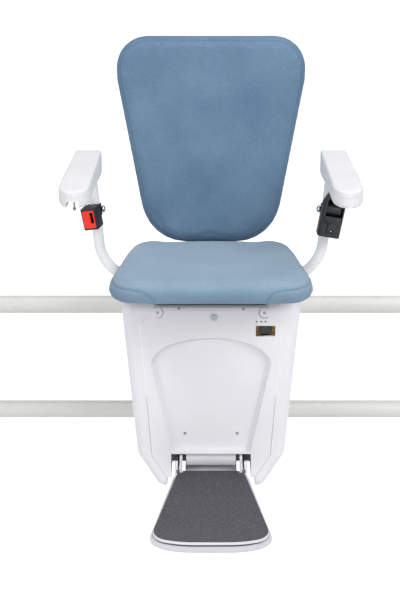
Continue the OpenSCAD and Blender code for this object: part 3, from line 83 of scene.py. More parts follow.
def linear(hex_colour: str) -> tuple[float, float, float, float]:
    """Turns an sRGB colour to the linear values that a shader takes.

    Args:
        hex_colour: The colour as six hex digits after a hash.

    Returns:
        Red, green and blue in linear light, and an alpha of one.
    """
    parts = [int(hex_colour[i : i + 2], 16) / 255 for i in (1, 3, 5)]
    bent = [c / 12.92 if c <= 0.04045 else ((c + 0.055) / 1.055) ** 2.4 for c in parts]
    return (bent[0], bent[1], bent[2], 1.0)


def add(tree: Tree, kind: str, inputs: dict[str | int, Any] | None = None, **settings: Any) -> Node:
    """Adds a node, sets it up and links it.

    Args:
        tree: The node tree that gets the node.
        kind: The node's type name.
        inputs: Values, sockets or nodes for its inputs, by name or place. A node gives its first output.
        settings: Attributes of the node to set.

    Returns:
        The new node.
    """
    made = tree.nodes.new(kind)
    for name, value in settings.items():
        setattr(made, name, value)
    for key, value in (inputs or {}).items():
        source = value.outputs[0] if isinstance(value, Node) else value
        if isinstance(source, Socket):
            tree.links.new(source, made.inputs[key])
        else:
            made.inputs[key].default_value = source
    return made


def per(size_mm: float) -> float:
    """Scale of a pattern whose features measure size_mm."""
    return 1 / (size_mm * MM)


@dataclass(frozen=True)
class Shading:
    """A material's tree while a finish paints it, and the patterns that finishes share."""

    tree: Tree
    shader: Node
    place: Socket
    roughness: float
    calm: tuple[float, float] = (0.3, 0.7)
    ramp_ends: tuple[float, float] = (0.32, 0.68)

    def noise(self, size_mm: float, detail: float = 3, place: Socket | None = None) -> Socket:
        """A noise whose features measure size_mm.

        Args:
            size_mm: Size of a feature.
            detail: Octaves of finer noise on top.
            place: The coordinates that it reads, where they aren't the piece's own.

        Returns:
            The noise's value.
        """
        inputs = {"Vector": place or self.place, "Scale": per(size_mm), "Detail": detail}
        return add(self.tree, "ShaderNodeTexNoise", inputs).outputs["Fac"]

    def vary_roughness(self, size_mm: float, amount: float) -> None:
        """Lets the gloss wander by amount over patches of size_mm, as a noise goes over its usual span."""
        inputs = {"Value": self.noise(size_mm), "From Min": self.calm[0], "From Max": self.calm[1]}
        inputs |= {"To Min": self.roughness - amount, "To Max": self.roughness + amount}
        value = add(self.tree, "ShaderNodeMapRange", inputs)
        self.tree.links.new(value.outputs[0], self.shader.inputs["Roughness"])

    def vary_colour(self, value: Socket, low: str, high: str) -> None:
        """Runs the colour from low to high along a noise value."""
        ramp = add(self.tree, "ShaderNodeValToRGB", {"Fac": value})
        for i, tone in enumerate((low, high)):
            ramp.color_ramp.elements[i].position = self.ramp_ends[i]
            ramp.color_ramp.elements[i].color = linear(tone)
        self.tree.links.new(ramp.outputs["Color"], self.shader.inputs["Base Color"])

    def tint(self, mark: str, tone: str) -> None:
        """Multiplies the colour by a tone where the piece carries a mark."""
        where = add(self.tree, "ShaderNodeAttribute", attribute_name=mark).outputs["Fac"]
        colour = self.shader.inputs["Base Color"].links[0].from_socket
        inputs = {0: where, 6: colour, 7: linear(tone)}
        shaded = add(self.tree, "ShaderNodeMix", inputs, data_type="RGBA", blend_type="MULTIPLY")
        self.tree.links.new(shaded.outputs[2], self.shader.inputs["Base Color"])

    def bump(self, value: Socket, depth_mm: float) -> None:
        """Turns a value to relief of depth_mm, over any relief that the shader has already."""
        normal = self.shader.inputs["Normal"]
        inputs = {"Height": value, "Distance": depth_mm * MM, "Strength": 1.0}
        if normal.is_linked:
            inputs["Normal"] = normal.links[0].from_socket
        self.tree.links.new(add(self.tree, "ShaderNodeBump", inputs).outputs["Normal"], normal)


# Finishes


@dataclass(frozen=True)
class Finish:
    """A surface finish: its colour and gloss, and what all kinds may have on top.

    Relief of depth_mm from a noise of grain_mm, a drift of the colour over drift_mm, and a gloss that
    wanders over patches of gloss[0] mm by gloss[1].
    """

    name: str
    colour: str
    roughness: float = 0.5
    metallic: float = 0.0
    coat: float = 0.0
    ior: float = 1.5
    grain_mm: float = 1.0
    octaves: int = 2
    depth_mm: float = 0.0
    drift: str = ""
    drift_mm: float = 140
    drift_octaves: int = 2
    gloss: tuple[float, float] | None = (35, 0.06)

    def material(self) -> bpy.types.Material:
        """The finish as a material, made once."""
        found = bpy.data.materials.get(self.name)
        if found:
            return found
        made = bpy.data.materials.new(self.name)
        made.use_nodes = True
        made.diffuse_color = linear(self.colour)
        tree = made.node_tree
        tree.nodes.clear()
        inputs = {"Base Color": linear(self.colour), "Roughness": self.roughness, "IOR": self.ior}
        inputs |= {"Metallic": self.metallic, "Coat Weight": self.coat}
        shader = add(tree, "ShaderNodeBsdfPrincipled", inputs)
        add(tree, "ShaderNodeOutputMaterial", {"Surface": shader})
        self.paint(Shading(tree, shader, add(tree, "ShaderNodeTexCoord").outputs["Object"], self.roughness))
        return made

    def paint(self, to: Shading) -> None:
        """Adds the relief, the drift of the colour and the wander of the gloss."""
        if self.depth_mm:
            to.bump(to.noise(self.grain_mm, self.octaves), self.depth_mm)
        if self.drift:
            to.vary_colour(to.noise(self.drift_mm, self.drift_octaves), self.drift, self.colour)
        if self.gloss:
            to.vary_roughness(*self.gloss)


@dataclass(frozen=True)
class PowderCoat(Finish):
    """Polyester powder, sprayed and baked: glossy, with the faint waviness called orange peel."""

    grain_mm: float = 2.2
    octaves: int = 1
    depth_mm: float = 0.02
    gloss: tuple[float, float] | None = (60, 0.04)


@dataclass(frozen=True)
class MouldedAbs(Finish):
    """Injection moulded ABS with a fine spark-eroded grain, and a slow drift as in large mouldings."""

    grain_mm: float = 0.7
    depth_mm: float = 0.012
    drift: str = "#E6E4EA"
    gloss: tuple[float, float] | None = (25, 0.05)


@dataclass(frozen=True)
class ZincPlate(Finish):
    """Bright zinc on steel: grey with a blue cast, faint mottling and fine machining lines."""

    metallic: float = 1.0
    grain_mm: float = 0.8
    depth_mm: float = 0.01
    drift: str = "#8E99A0"
    drift_mm: float = 6
    drift_octaves: int = 3
    gloss: tuple[float, float] | None = (9, 0.1)


@dataclass(frozen=True)
class SandCast(Finish):
    """Sand-cast aluminium: dull, pitted and uneven."""

    metallic: float = 1.0
    grain_mm: float = 1.6
    octaves: int = 4
    depth_mm: float = 0.18
    gloss: tuple[float, float] | None = (12, 0.08)


@dataclass(frozen=True)
class Velour(Finish):
    """Short-pile upholstery velour, with broad patches of painted light and shade where the cover's soft
    undulations catch the light in turn.
    """

    gloss: tuple[float, float] | None = None
    dark: str = "#647F97"
    light: str = "#7C96AC"
    # Painted shade multiplied over the side bands, deeper as the cover turns further from its face.
    band_painted_shade: str = "#DFE8F0"
    # Painted shade multiplied along the seams, in their creases.
    crease: str = "#D3DAE0"
    # Size of the broad patches of painted light and shade.
    shade_patch_mm: float = 120.0
    pile_mm: float = 3.2
    pile_depth: float = 0.22
    weave_mm: float = 1.1
    weave_depth: float = 0.12
    weights: tuple[float, float, float] = (0.5, 0.35, 0.15)
    sheen: float = 0.3
    sheen_roughness: float = 0.45
    sheen_tint: str = "#C9D6E2"

    def paint(self, to: Shading) -> None:
        """Adds broad patches of painted light and shade, the pile and the ground weave, and the painted shade
        of the bands and seams.
        """
        to.shader.inputs["Sheen Weight"].default_value = self.sheen
        to.shader.inputs["Sheen Roughness"].default_value = self.sheen_roughness
        to.shader.inputs["Sheen Tint"].default_value = linear(self.sheen_tint)
        pile, fine = to.noise(self.pile_mm, 4), to.noise(self.weave_mm, 2)
        # The broad noise paints patches of light and shade over the cover; the pile and weave noises add the
        # fabric's fine texture.
        total: Any = 0.0
        for value, weight in zip((to.noise(self.shade_patch_mm), pile, fine), self.weights):
            total = add(to.tree, "ShaderNodeMath", {0: value, 1: weight, 2: total}, operation="MULTIPLY_ADD")
        to.vary_colour(total.outputs[0], self.dark, self.light)
        # Painted shade over the side bands.
        to.tint("band_painted_shade", self.band_painted_shade)
        # Painted shade along the seams.
        to.tint("seam", self.crease)
        to.bump(pile, self.pile_depth)
        to.bump(fine, self.weave_depth)


@dataclass(frozen=True)
class GritCoat(Finish):
    """Anti-slip sheet: mineral grit set in a dark resin, glinting grain by grain."""

    gloss: tuple[float, float] | None = (3, 0.15)
    grit_mm: float = 1.6
    grit_depth: float = 0.3
    dark: str = "#47454B"
    light: str = "#66646A"
    middle: float = 0.72

    def paint(self, to: Shading) -> None:
        """Adds grains of different grey, each with its own height."""
        inputs = {"Vector": to.place, "Scale": per(self.grit_mm), "Randomness": 1.0}
        cells = add(to.tree, "ShaderNodeTexVoronoi", inputs)
        grey = add(to.tree, "ShaderNodeSeparateColor", {"Color": cells.outputs["Color"]})
        ramp = add(to.tree, "ShaderNodeValToRGB", {"Fac": grey})
        ramp.color_ramp.elements[0].color = linear(self.dark)
        ramp.color_ramp.elements[1].color = linear(self.light)
        ramp.color_ramp.elements.new(self.middle).color = linear(self.colour)
        to.tree.links.new(ramp.outputs["Color"], to.shader.inputs["Base Color"])
        to.bump(cells.outputs["Distance"], self.grit_depth)
        super().paint(to)


@dataclass(frozen=True)
class Webbing(Finish):
    """Woven polyester webbing, with ribs across the strap."""

    gloss: tuple[float, float] | None = None
    rib_mm: float = 1.4
    rib_depth: float = 0.2
    valley_shade: str = "#15161A"
    bands_per_unit: float = 20

    def paint(self, to: Shading) -> None:
        """Adds the ribs of the weave, with painted shade in the valleys between them."""
        inputs = {"Vector": to.place, "Scale": per(self.rib_mm) / self.bands_per_unit, "Distortion": 0.4}
        ribs = add(to.tree, "ShaderNodeTexWave", inputs, bands_direction="Y").outputs["Fac"]
        to.bump(ribs, self.rib_depth)
        # Painted shade: the colour darkens into the valleys between the ribs.
        to.vary_colour(ribs, self.valley_shade, self.colour)


@dataclass(frozen=True)
class Laminate(Finish):
    """Bonded paper board: warm brown, with the fibres of the paper showing along it."""

    gloss: tuple[float, float] | None = None
    fibre_mm: float = 3.0
    stretch: Point = (0.25, 1.0, 1.0)
    dark: str = "#8A6234"
    light: str = "#B08A50"

    def paint(self, to: Shading) -> None:
        """Adds stretched fibres."""
        drawn = add(to.tree, "ShaderNodeMapping", {"Vector": to.place, "Scale": self.stretch})
        to.vary_colour(to.noise(self.fibre_mm, 4, drawn.outputs[0]), self.dark, self.light)


class Palette(Enum):
    """Every finish on the chair, by its maker's name."""

    RAIL = PowderCoat("white_rail_powder_coat", "#E0E0DC", 0.3, depth_mm=0.006)
    TUBE = PowderCoat("white_arm_tube_powder_coat", "#EEEEEE", 0.22, depth_mm=0.006, coat=0.3)
    FRAME = PowderCoat("grey_frame_powder_coat", "#8C9197", 0.45)
    BRACKET = PowderCoat("dark_grey_bracket_powder_coat", "#767B82", 0.45)
    COVER = MouldedAbs("white_abs_cover", "#F4F2F6", 0.42, drift="#EEECF1")
    PAN = MouldedAbs("grey_white_abs_pan", "#DEDBE2", 0.45, drift="#D8D5DC")
    ARM = MouldedAbs("white_abs_armrest", "#EBEAED", 0.55, drift="#E6E4E8")
    SHELL = MouldedAbs("grey_abs_shell", "#6F7C88", 0.5, grain_mm=1.2, depth_mm=0.05, drift="#687480")
    BOARD_BASE = MouldedAbs("black_seat_board", "#3E4146", 0.6, drift="#35383D")
    # One velour in two copies: the seat's is painted lighter and the backrest's darker, standing in for more
    # light on the level seat than on the upright back.
    SEAT_VELOUR = Velour("velour_seat_painted_lighter", "#8FA6B8", 0.9, dark="#7B93A7", light="#93A9BA", sheen=0.4)
    BACK_VELOUR = Velour("velour_back_painted_darker", "#6A88A2", 0.9, dark="#52708C", light="#7490AA", sheen=0.15)
    ZINC = ZincPlate("bright_zinc_plate", "#B4BEC5", 0.32)
    AXLE = ZincPlate("ground_steel", "#C2C7CA", 0.24, drift="#A7AEB3")
    NICKEL = ZincPlate("dull_nickel", "#A39B92", 0.22, drift="#8E867E")
    SCREW = ZincPlate("dull_zinc_screw", "#A9B5BA", 0.5, drift="#98A4AA")
    DOME = ZincPlate("polished_bolt_head", "#C9D2D8", 0.18, drift="#AEB9C1")
    CAST = SandCast("sand_cast_aluminium", "#9BA0A4", 0.55)
    MOTOR = PowderCoat("black_motor_paint", "#2F3237", 0.4)
    BLACK = MouldedAbs("black_moulded_nylon", "#1D1F23", 0.5, drift="#181A1D")
    GLOSS_BLACK = MouldedAbs("black_gloss_rocker", "#151617", 0.3, grain_mm=3, depth_mm=2e-3, drift="#121314")
    RED = MouldedAbs("red_moulded_button", "#FF2E0E", 0.4, drift="#F6280A")
    GRIT = GritCoat("dark_grey_grit_sheet", "#535157", 0.62)
    GRAIN = Finish("mineral_grain", "#94949B", 0.5)
    TYRE = MouldedAbs("cast_polyurethane", "#3A3B40", 0.55, grain_mm=2, depth_mm=0.03, drift="#303136")
    LAMP = Finish("green_lamp_lens", "#4F9467", 0.25)
    LAMINATE = Laminate("brown_paper_laminate", "#A87E45", 0.55)
    CIRCUIT = Finish("green_solder_mask", "#1F5A3A", 0.3)
    BATTERY = MouldedAbs("black_battery_case", "#2B2D31", 0.55, grain_mm=1.5, depth_mm=0.05, drift="#232529")
    WEBBING = Webbing("black_belt_webbing", "#2C2E34", 0.85)
    BEARING = ZincPlate("bearing_bronze", "#B9A27A", 0.35, drift="#A08A62")
    THREAD = Finish("blue_grey_thread", "#738DA3", 0.8)


# Mesh helpers


def new_piece(name: str, mesh: Mesh) -> Piece:
    """Links a mesh to the scene as an object at the origin."""
    piece = bpy.data.objects.new(name, mesh)
    bpy.context.scene.collection.objects.link(piece)
    return piece


@contextmanager
def edited(mesh: Mesh) -> Iterator[bmesh.types.BMesh]:
    """Opens a mesh for editing, and writes it back afterwards.

    Args:
        mesh: The mesh.

    Returns:
        Its points, edges and faces while it is open.
    """
    work = bmesh.new()
    work.from_mesh(mesh)
    yield work
    work.to_mesh(mesh)
    work.free()


def rows(items: Any, name: str) -> np.ndarray:
    """One vector attribute of each item of a collection, as an array of rows."""
    flat = np.zeros(len(items) * 3, np.float32)
    items.foreach_get(name, flat)
    return flat.reshape(-1, 3)


def coordinates(mesh: Mesh) -> np.ndarray:
    """The mesh's points as an array of rows."""
    return rows(mesh.vertices, "co").astype(float)


def set_coordinates(mesh: Mesh, points: np.ndarray) -> None:
    """Writes the points back to the mesh."""
    mesh.vertices.foreach_set("co", points.astype(np.float32).ravel())
    mesh.update()


def mark(mesh: Mesh, name: str, share: np.ndarray) -> None:
    """Stores a share for each point, which a finish can read by its name."""
    made = mesh.attributes.new(name, "FLOAT", "POINT")
    made.data.foreach_set("value", share.astype(np.float32))


def baked(piece: Piece) -> Piece:
    """Applies every modifier of a piece to its mesh, and gives the piece back."""
    depsgraph = bpy.context.evaluated_depsgraph_get()
    mesh = bpy.data.meshes.new_from_object(piece.evaluated_get(depsgraph), depsgraph=depsgraph)
    old = piece.data
    piece.modifiers.clear()
    piece.data = mesh
    mesh.name = piece.name
    bpy.data.meshes.remove(old)
    return piece


def smoothed(mesh: Mesh, sharp_deg: float) -> None:
    """Shades a mesh smooth, and keeps edges that bend more than sharp_deg."""
    mesh.shade_smooth()
    mesh.set_sharp_from_angle(angle=math.radians(sharp_deg))


def paint(piece: Piece, finish: Palette) -> None:
    """Gives the whole piece one finish."""
    piece.data.materials.clear()
    piece.data.materials.append(finish.value.material())


def node_copy(node: str, name: str, merge_mm: float = 0.004) -> Piece:
    """A copy of a node's mesh with its doubled points merged, which a finer piece starts from."""
    work = bmesh.new()
    work.from_mesh(frame["nodes"][node].data)
    bmesh.ops.remove_doubles(work, verts=work.verts, dist=merge_mm * MM)
    mesh = bpy.data.meshes.new(name)
    work.to_mesh(mesh)
    work.free()
    for spare in ("custom_normal", "sharp_edge", "sharp_face"):
        found = mesh.attributes.get(spare)
        if found:
            mesh.attributes.remove(found)
    return new_piece(name, mesh)


def islands(node: str) -> list[tuple[np.ndarray, np.ndarray]]:
    """Corners, in mm, of the box round each separate solid of a node, from left to right."""
    piece = node_copy(node, node + "_parts")
    found = []
    with edited(piece.data) as work:
        left = set(work.verts)
        while left:
            group, reach = [], [left.pop()]
            while reach:
                vert = reach.pop()
                group.append(vert.co)
                near = {edge.other_vert(vert) for edge in vert.link_edges} & left
                left -= near
                reach += near
            points = np.array(group) / MM
            found.append((points.min(axis=0), points.max(axis=0)))
    bpy.data.objects.remove(piece)
    return sorted(found, key=lambda box: tuple(np.round(box[0], 1)))


def landing(node: str, start: Point, way: Point) -> tuple[Vector, Vector] | None:
    """Where a straight line first meets a node.

    Args:
        node: The node's name.
        start: A point outside the node, in mm.
        way: Direction of the line.

    Returns:
        The point met, in mm, and the surface's normal there, or None where it misses.
    """
    piece = node_copy(node, node + "_target")
    tree = BVHTree.FromObject(piece, bpy.context.evaluated_depsgraph_get())
    found, normal, _, _ = tree.ray_cast(Vector(start) * MM, Vector(way).normalized())
    bpy.data.objects.remove(piece)
    return (found / MM, normal) if found else None


def lathe(
    name: str, profile: list[tuple[float, float]], centre: Point, axis: Point, steps: int = 40
) -> Piece:
    """Turns a profile round an axis.

    Args:
        name: The piece's name.
        profile: Radius and height pairs in mm, from one end of the axis to the other.
        centre: Where the axis starts, in mm.
        axis: Direction of the axis.
        steps: Sides of the turned shape.

    Returns:
        The piece, closed and facing out.
    """
    turn = Vector(axis).to_track_quat("Z", "Y").to_matrix().to_4x4()
    place = Matrix.Translation(Vector(centre) * MM) @ turn
    angles = [2 * math.pi * i / steps for i in range(steps)]
    mesh = bpy.data.meshes.new(name)
    with edited(mesh) as work:
        rings = []
        for radius, height in profile:
            points = [Vector((radius * math.cos(a), radius * math.sin(a), height)) for a in angles]
            rings.append([work.verts.new(place @ (point * MM)) for point in points])
        for low, high in zip(rings, rings[1:]):
            for i in range(steps):
                j = (i + 1) % steps
                work.faces.new((low[i], low[j], high[j], high[i]))
        work.faces.new(rings[0][::-1])
        work.faces.new(rings[-1])
        bmesh.ops.remove_doubles(work, verts=work.verts, dist=0.001 * MM)
        bmesh.ops.recalc_face_normals(work, faces=work.faces)
    smoothed(mesh, 35)
    return new_piece(name, mesh)


def rounded_outline(corners: np.ndarray, radii: Sequence[float], steps: int = 16) -> np.ndarray:
    """Rounds the corners of a closed outline with arcs.

    Args:
        corners: Corner points in order, as rows of two.
        radii: Radius of each corner.
        steps: Segments of each arc.

    Returns:
        The points of the rounded outline.
    """
    made: list[np.ndarray] = []
    for i, radius in enumerate(radii):
        before, here, after = corners[i - 1], corners[i], corners[(i + 1) % len(corners)]
        u = (before - here) / np.linalg.norm(before - here)
        v = (after - here) / np.linalg.norm(after - here)
        half = math.acos(np.clip(u @ v, -1, 1)) / 2
        middle = here + (u + v) / np.linalg.norm(u + v) * radius / math.sin(half)
        start, end = here + u * radius / math.tan(half) - middle, here + v * radius / math.tan(half) - middle
        first = math.atan2(start[1], start[0])
        swing = (math.atan2(end[1], end[0]) - first + math.pi) % (2 * math.pi) - math.pi
        for k in range(steps + 1):
            angle = first + swing * k / steps
            made.append(middle + radius * np.array([math.cos(angle), math.sin(angle)]))
    return np.array(made)


def facing_points(name: str, places: Sequence[tuple[Sequence[float], Sequence[float]]]) -> Mesh:
    """Points as a mesh, each given in mm with the direction that it faces."""
    mesh = bpy.data.meshes.new(name)
    mesh.from_pydata([Vector(point) * MM for point, _ in places], [], [])
    facing = mesh.attributes.new("facing", "FLOAT_VECTOR", "POINT")
    facing.data.foreach_set("vector", [c for _, way in places for c in Vector(way).normalized()])
    return mesh


# Geometry Nodes


class TreeKind(Enum):
    """The node trees that the chair's repeated and path-following details are made by."""

    STITCHES = "stitches_along_seam"
    SCREWS = "cross_recess_screws"
    NUTS = "hex_nuts_with_washers"
    GRAINS = "grit_grains"


class Detailer:
    """Builds each node tree once, and runs it on points, seams or faces."""

    trees: dict[TreeKind, Tree] = {}

    def start(self, kind: TreeKind, sizes: dict[str, float]) -> tuple[Tree, Node]:
        """Makes a tree with its named inputs.

        Args:
            kind: Which tree.
            sizes: Names and default values of its number inputs.

        Returns:
            The tree and its group input node.
        """
        tree = bpy.data.node_groups.new(kind.value, "GeometryNodeTree")
        tree.interface.new_socket("Geometry", in_out="INPUT", socket_type="NodeSocketGeometry")
        tree.interface.new_socket("Geometry", in_out="OUTPUT", socket_type="NodeSocketGeometry")
        for name, value in sizes.items():
            made = tree.interface.new_socket(name, in_out="INPUT", socket_type="NodeSocketFloat")
            made.default_value = value
        tree.interface.new_socket("Finish", in_out="INPUT", socket_type="NodeSocketMaterial")
        return tree, tree.nodes.new("NodeGroupInput")

    def end(self, tree: Tree, given: Node, inputs: dict[str, Any]) -> Tree:
        """Puts the instances on their points, realizes them and gives them the finish.

        Args:
            tree: The tree.
            given: Its group input node.
            inputs: The points, and the instance with its rotation and scale.

        Returns:
            The tree, ready to run.
        """
        placed = add(tree, "GeometryNodeInstanceOnPoints", inputs)
        real = add(tree, "GeometryNodeRealizeInstances", {0: placed})
        flat = add(tree, "GeometryNodeSetShadeSmooth", {0: real, "Shade Smooth": False})
        done = add(tree, "GeometryNodeSetMaterial", {0: flat, "Material": given.outputs["Finish"]})
        add(tree, "NodeGroupOutput", {0: done})
        return tree

    def facing(self, tree: Tree) -> Node:
        """The rotation that points an instance's Z along the points' own facing attribute."""
        way = add(tree, "GeometryNodeInputNamedAttribute", {"Name": "facing"}, data_type="FLOAT_VECTOR")
        return add(tree, "FunctionNodeAlignRotationToVector", {"Vector": way.outputs["Attribute"]}, axis="Z")

    def screws(self) -> Tree:
        """Pan-head screws with a cross recess, one on each point."""
        tree, given = self.start(TreeKind.SCREWS, {"Head Radius": 3.2 * MM, "Head Height": 1.6 * MM})
        put = partial(add, tree)
        radius, height = given.outputs["Head Radius"], given.outputs["Head Height"]
        disc = put("GeometryNodeMeshCylinder", {"Vertices": 20, "Radius": radius, "Depth": height})
        cut = put("GeometryNodeMeshBoolean", {0: disc}, operation="DIFFERENCE")
        for wide in (0, 1):
            long, thin, half = (
                put("ShaderNodeMath", {0: size, 1: share}, operation="MULTIPLY")
                for size, share in ((radius, 1.1), (radius, 0.28), (height, 0.6))
            )
            size = put("ShaderNodeCombineXYZ", {wide: long, 1 - wide: thin, 2: height})
            cube = put("GeometryNodeMeshCube", {"Size": size})
            lift = put("ShaderNodeCombineXYZ", {2: half})
            bar = put("GeometryNodeTransform", {"Geometry": cube, "Translation": lift})
            tree.links.new(bar.outputs[0], cut.inputs[1])
        points = given.outputs[0]
        return self.end(tree, given, {"Points": points, "Instance": cut, "Rotation": self.facing(tree)})

    def nuts(self) -> Tree:
        """A washer, a hexagon nut and the end of the thread on each point."""
        tree, given = self.start(TreeKind.NUTS, {"Nut Radius": 9 * MM, "Nut Height": 6 * MM})
        put = partial(add, tree)
        radius, height = given.outputs["Nut Radius"], given.outputs["Nut Height"]
        parts = put("GeometryNodeJoinGeometry")
        for sides, *shares in ((6, 1.0, 1.0, 0.62), (24, 1.18, 0.22, 0.11), (16, 0.52, 0.5, 1.3)):
            wide, tall, up = (
                put("ShaderNodeMath", {0: size, 1: share}, operation="MULTIPLY")
                for size, share in zip((radius, height, height), shares)
            )
            disc = put("GeometryNodeMeshCylinder", {"Vertices": sides, "Radius": wide, "Depth": tall})
            lift = put("ShaderNodeCombineXYZ", {2: up})
            moved = put("GeometryNodeTransform", {"Geometry": disc, "Translation": lift})
            tree.links.new(moved.outputs[0], parts.inputs[0])
        points = given.outputs[0]
        return self.end(tree, given, {"Points": points, "Instance": parts, "Rotation": self.facing(tree)})

    def stitches(self) -> Tree:
        """Short stitches, end to end with a gap, along the edges of a seam line."""
        sizes = {"Spacing": 4.5 * MM, "Stitch Length": 3.2 * MM, "Thread Radius": 0.25 * MM}
        tree, given = self.start(TreeKind.STITCHES, sizes)
        put = partial(add, tree)
        line = put("GeometryNodeMeshToCurve", {0: given})
        step = given.outputs["Spacing"]
        points = put("GeometryNodeCurveToPoints", {"Curve": line, "Length": step}, mode="LENGTH")
        radius, depth = given.outputs["Thread Radius"], given.outputs["Stitch Length"]
        thread = put("GeometryNodeMeshCylinder", {"Vertices": 5, "Radius": radius, "Depth": depth})
        turned = put("FunctionNodeAlignRotationToVector", {"Vector": points.outputs["Tangent"]}, axis="Z")
        return self.end(tree, given, {"Points": points, "Instance": thread, "Rotation": turned})

    def grains(self) -> Tree:
        """Mineral grains scattered over faces, sunk halfway, each of its own size and turn."""
        sizes = {"Density": 90000.0, "Grain Radius": 0.7 * MM, "Smallest Share": 0.45}
        tree, given = self.start(TreeKind.GRAINS, sizes)
        put = partial(add, tree)
        inputs = {"Mesh": given, "Density": given.outputs["Density"], "Seed": 7}
        points = put("GeometryNodeDistributePointsOnFaces", inputs)
        grain = put("GeometryNodeMeshIcoSphere", {"Radius": given.outputs["Grain Radius"], "Subdivisions": 1})
        inputs = {2: given.outputs["Smallest Share"], 3: 1.0, "Seed": 11}
        scale = put("FunctionNodeRandomValue", inputs, data_type="FLOAT").outputs[1]
        inputs = {0: (0.0, 0.0, 0.0), 1: (6.28, 6.28, 6.28), "Seed": 13}
        turn = put("FunctionNodeRandomValue", inputs, data_type="FLOAT_VECTOR")
        inputs = {"Points": points, "Instance": grain, "Rotation": turn, "Scale": scale}
        return self.end(tree, given, inputs)

    def run(
        self, kind: TreeKind, mesh: Mesh, name: str, finish: Palette, sizes: dict[str, float] | None = None
    ) -> Piece:
        """Runs a tree on a mesh and keeps the plain result.

        Args:
            kind: Which tree.
            mesh: Points, line or faces for it to work on.
            name: Name of the piece.
            finish: Its finish.
            sizes: Named inputs to set, in metres.

        Returns:
            The piece, with no modifier left.
        """
        tree = self.trees.get(kind) or self.makers[kind](self)
        self.trees[kind] = tree
        piece = new_piece(name, mesh)
        modifier = piece.modifiers.new("detail", "NODES")
        modifier.node_group = tree
        inputs = [item for item in tree.interface.items_tree if getattr(item, "in_out", "") == "INPUT"]
        sockets = {item.name: item.identifier for item in inputs}
        modifier[sockets["Finish"]] = finish.value.material()
        for size_name, value in (sizes or {}).items():
            modifier[sockets[size_name]] = value
        return baked(piece)

    makers = {
        TreeKind.STITCHES: stitches,
        TreeKind.SCREWS: screws,
        TreeKind.NUTS: nuts,
        TreeKind.GRAINS: grains,
    }


detailer = Detailer()


# Soft goods


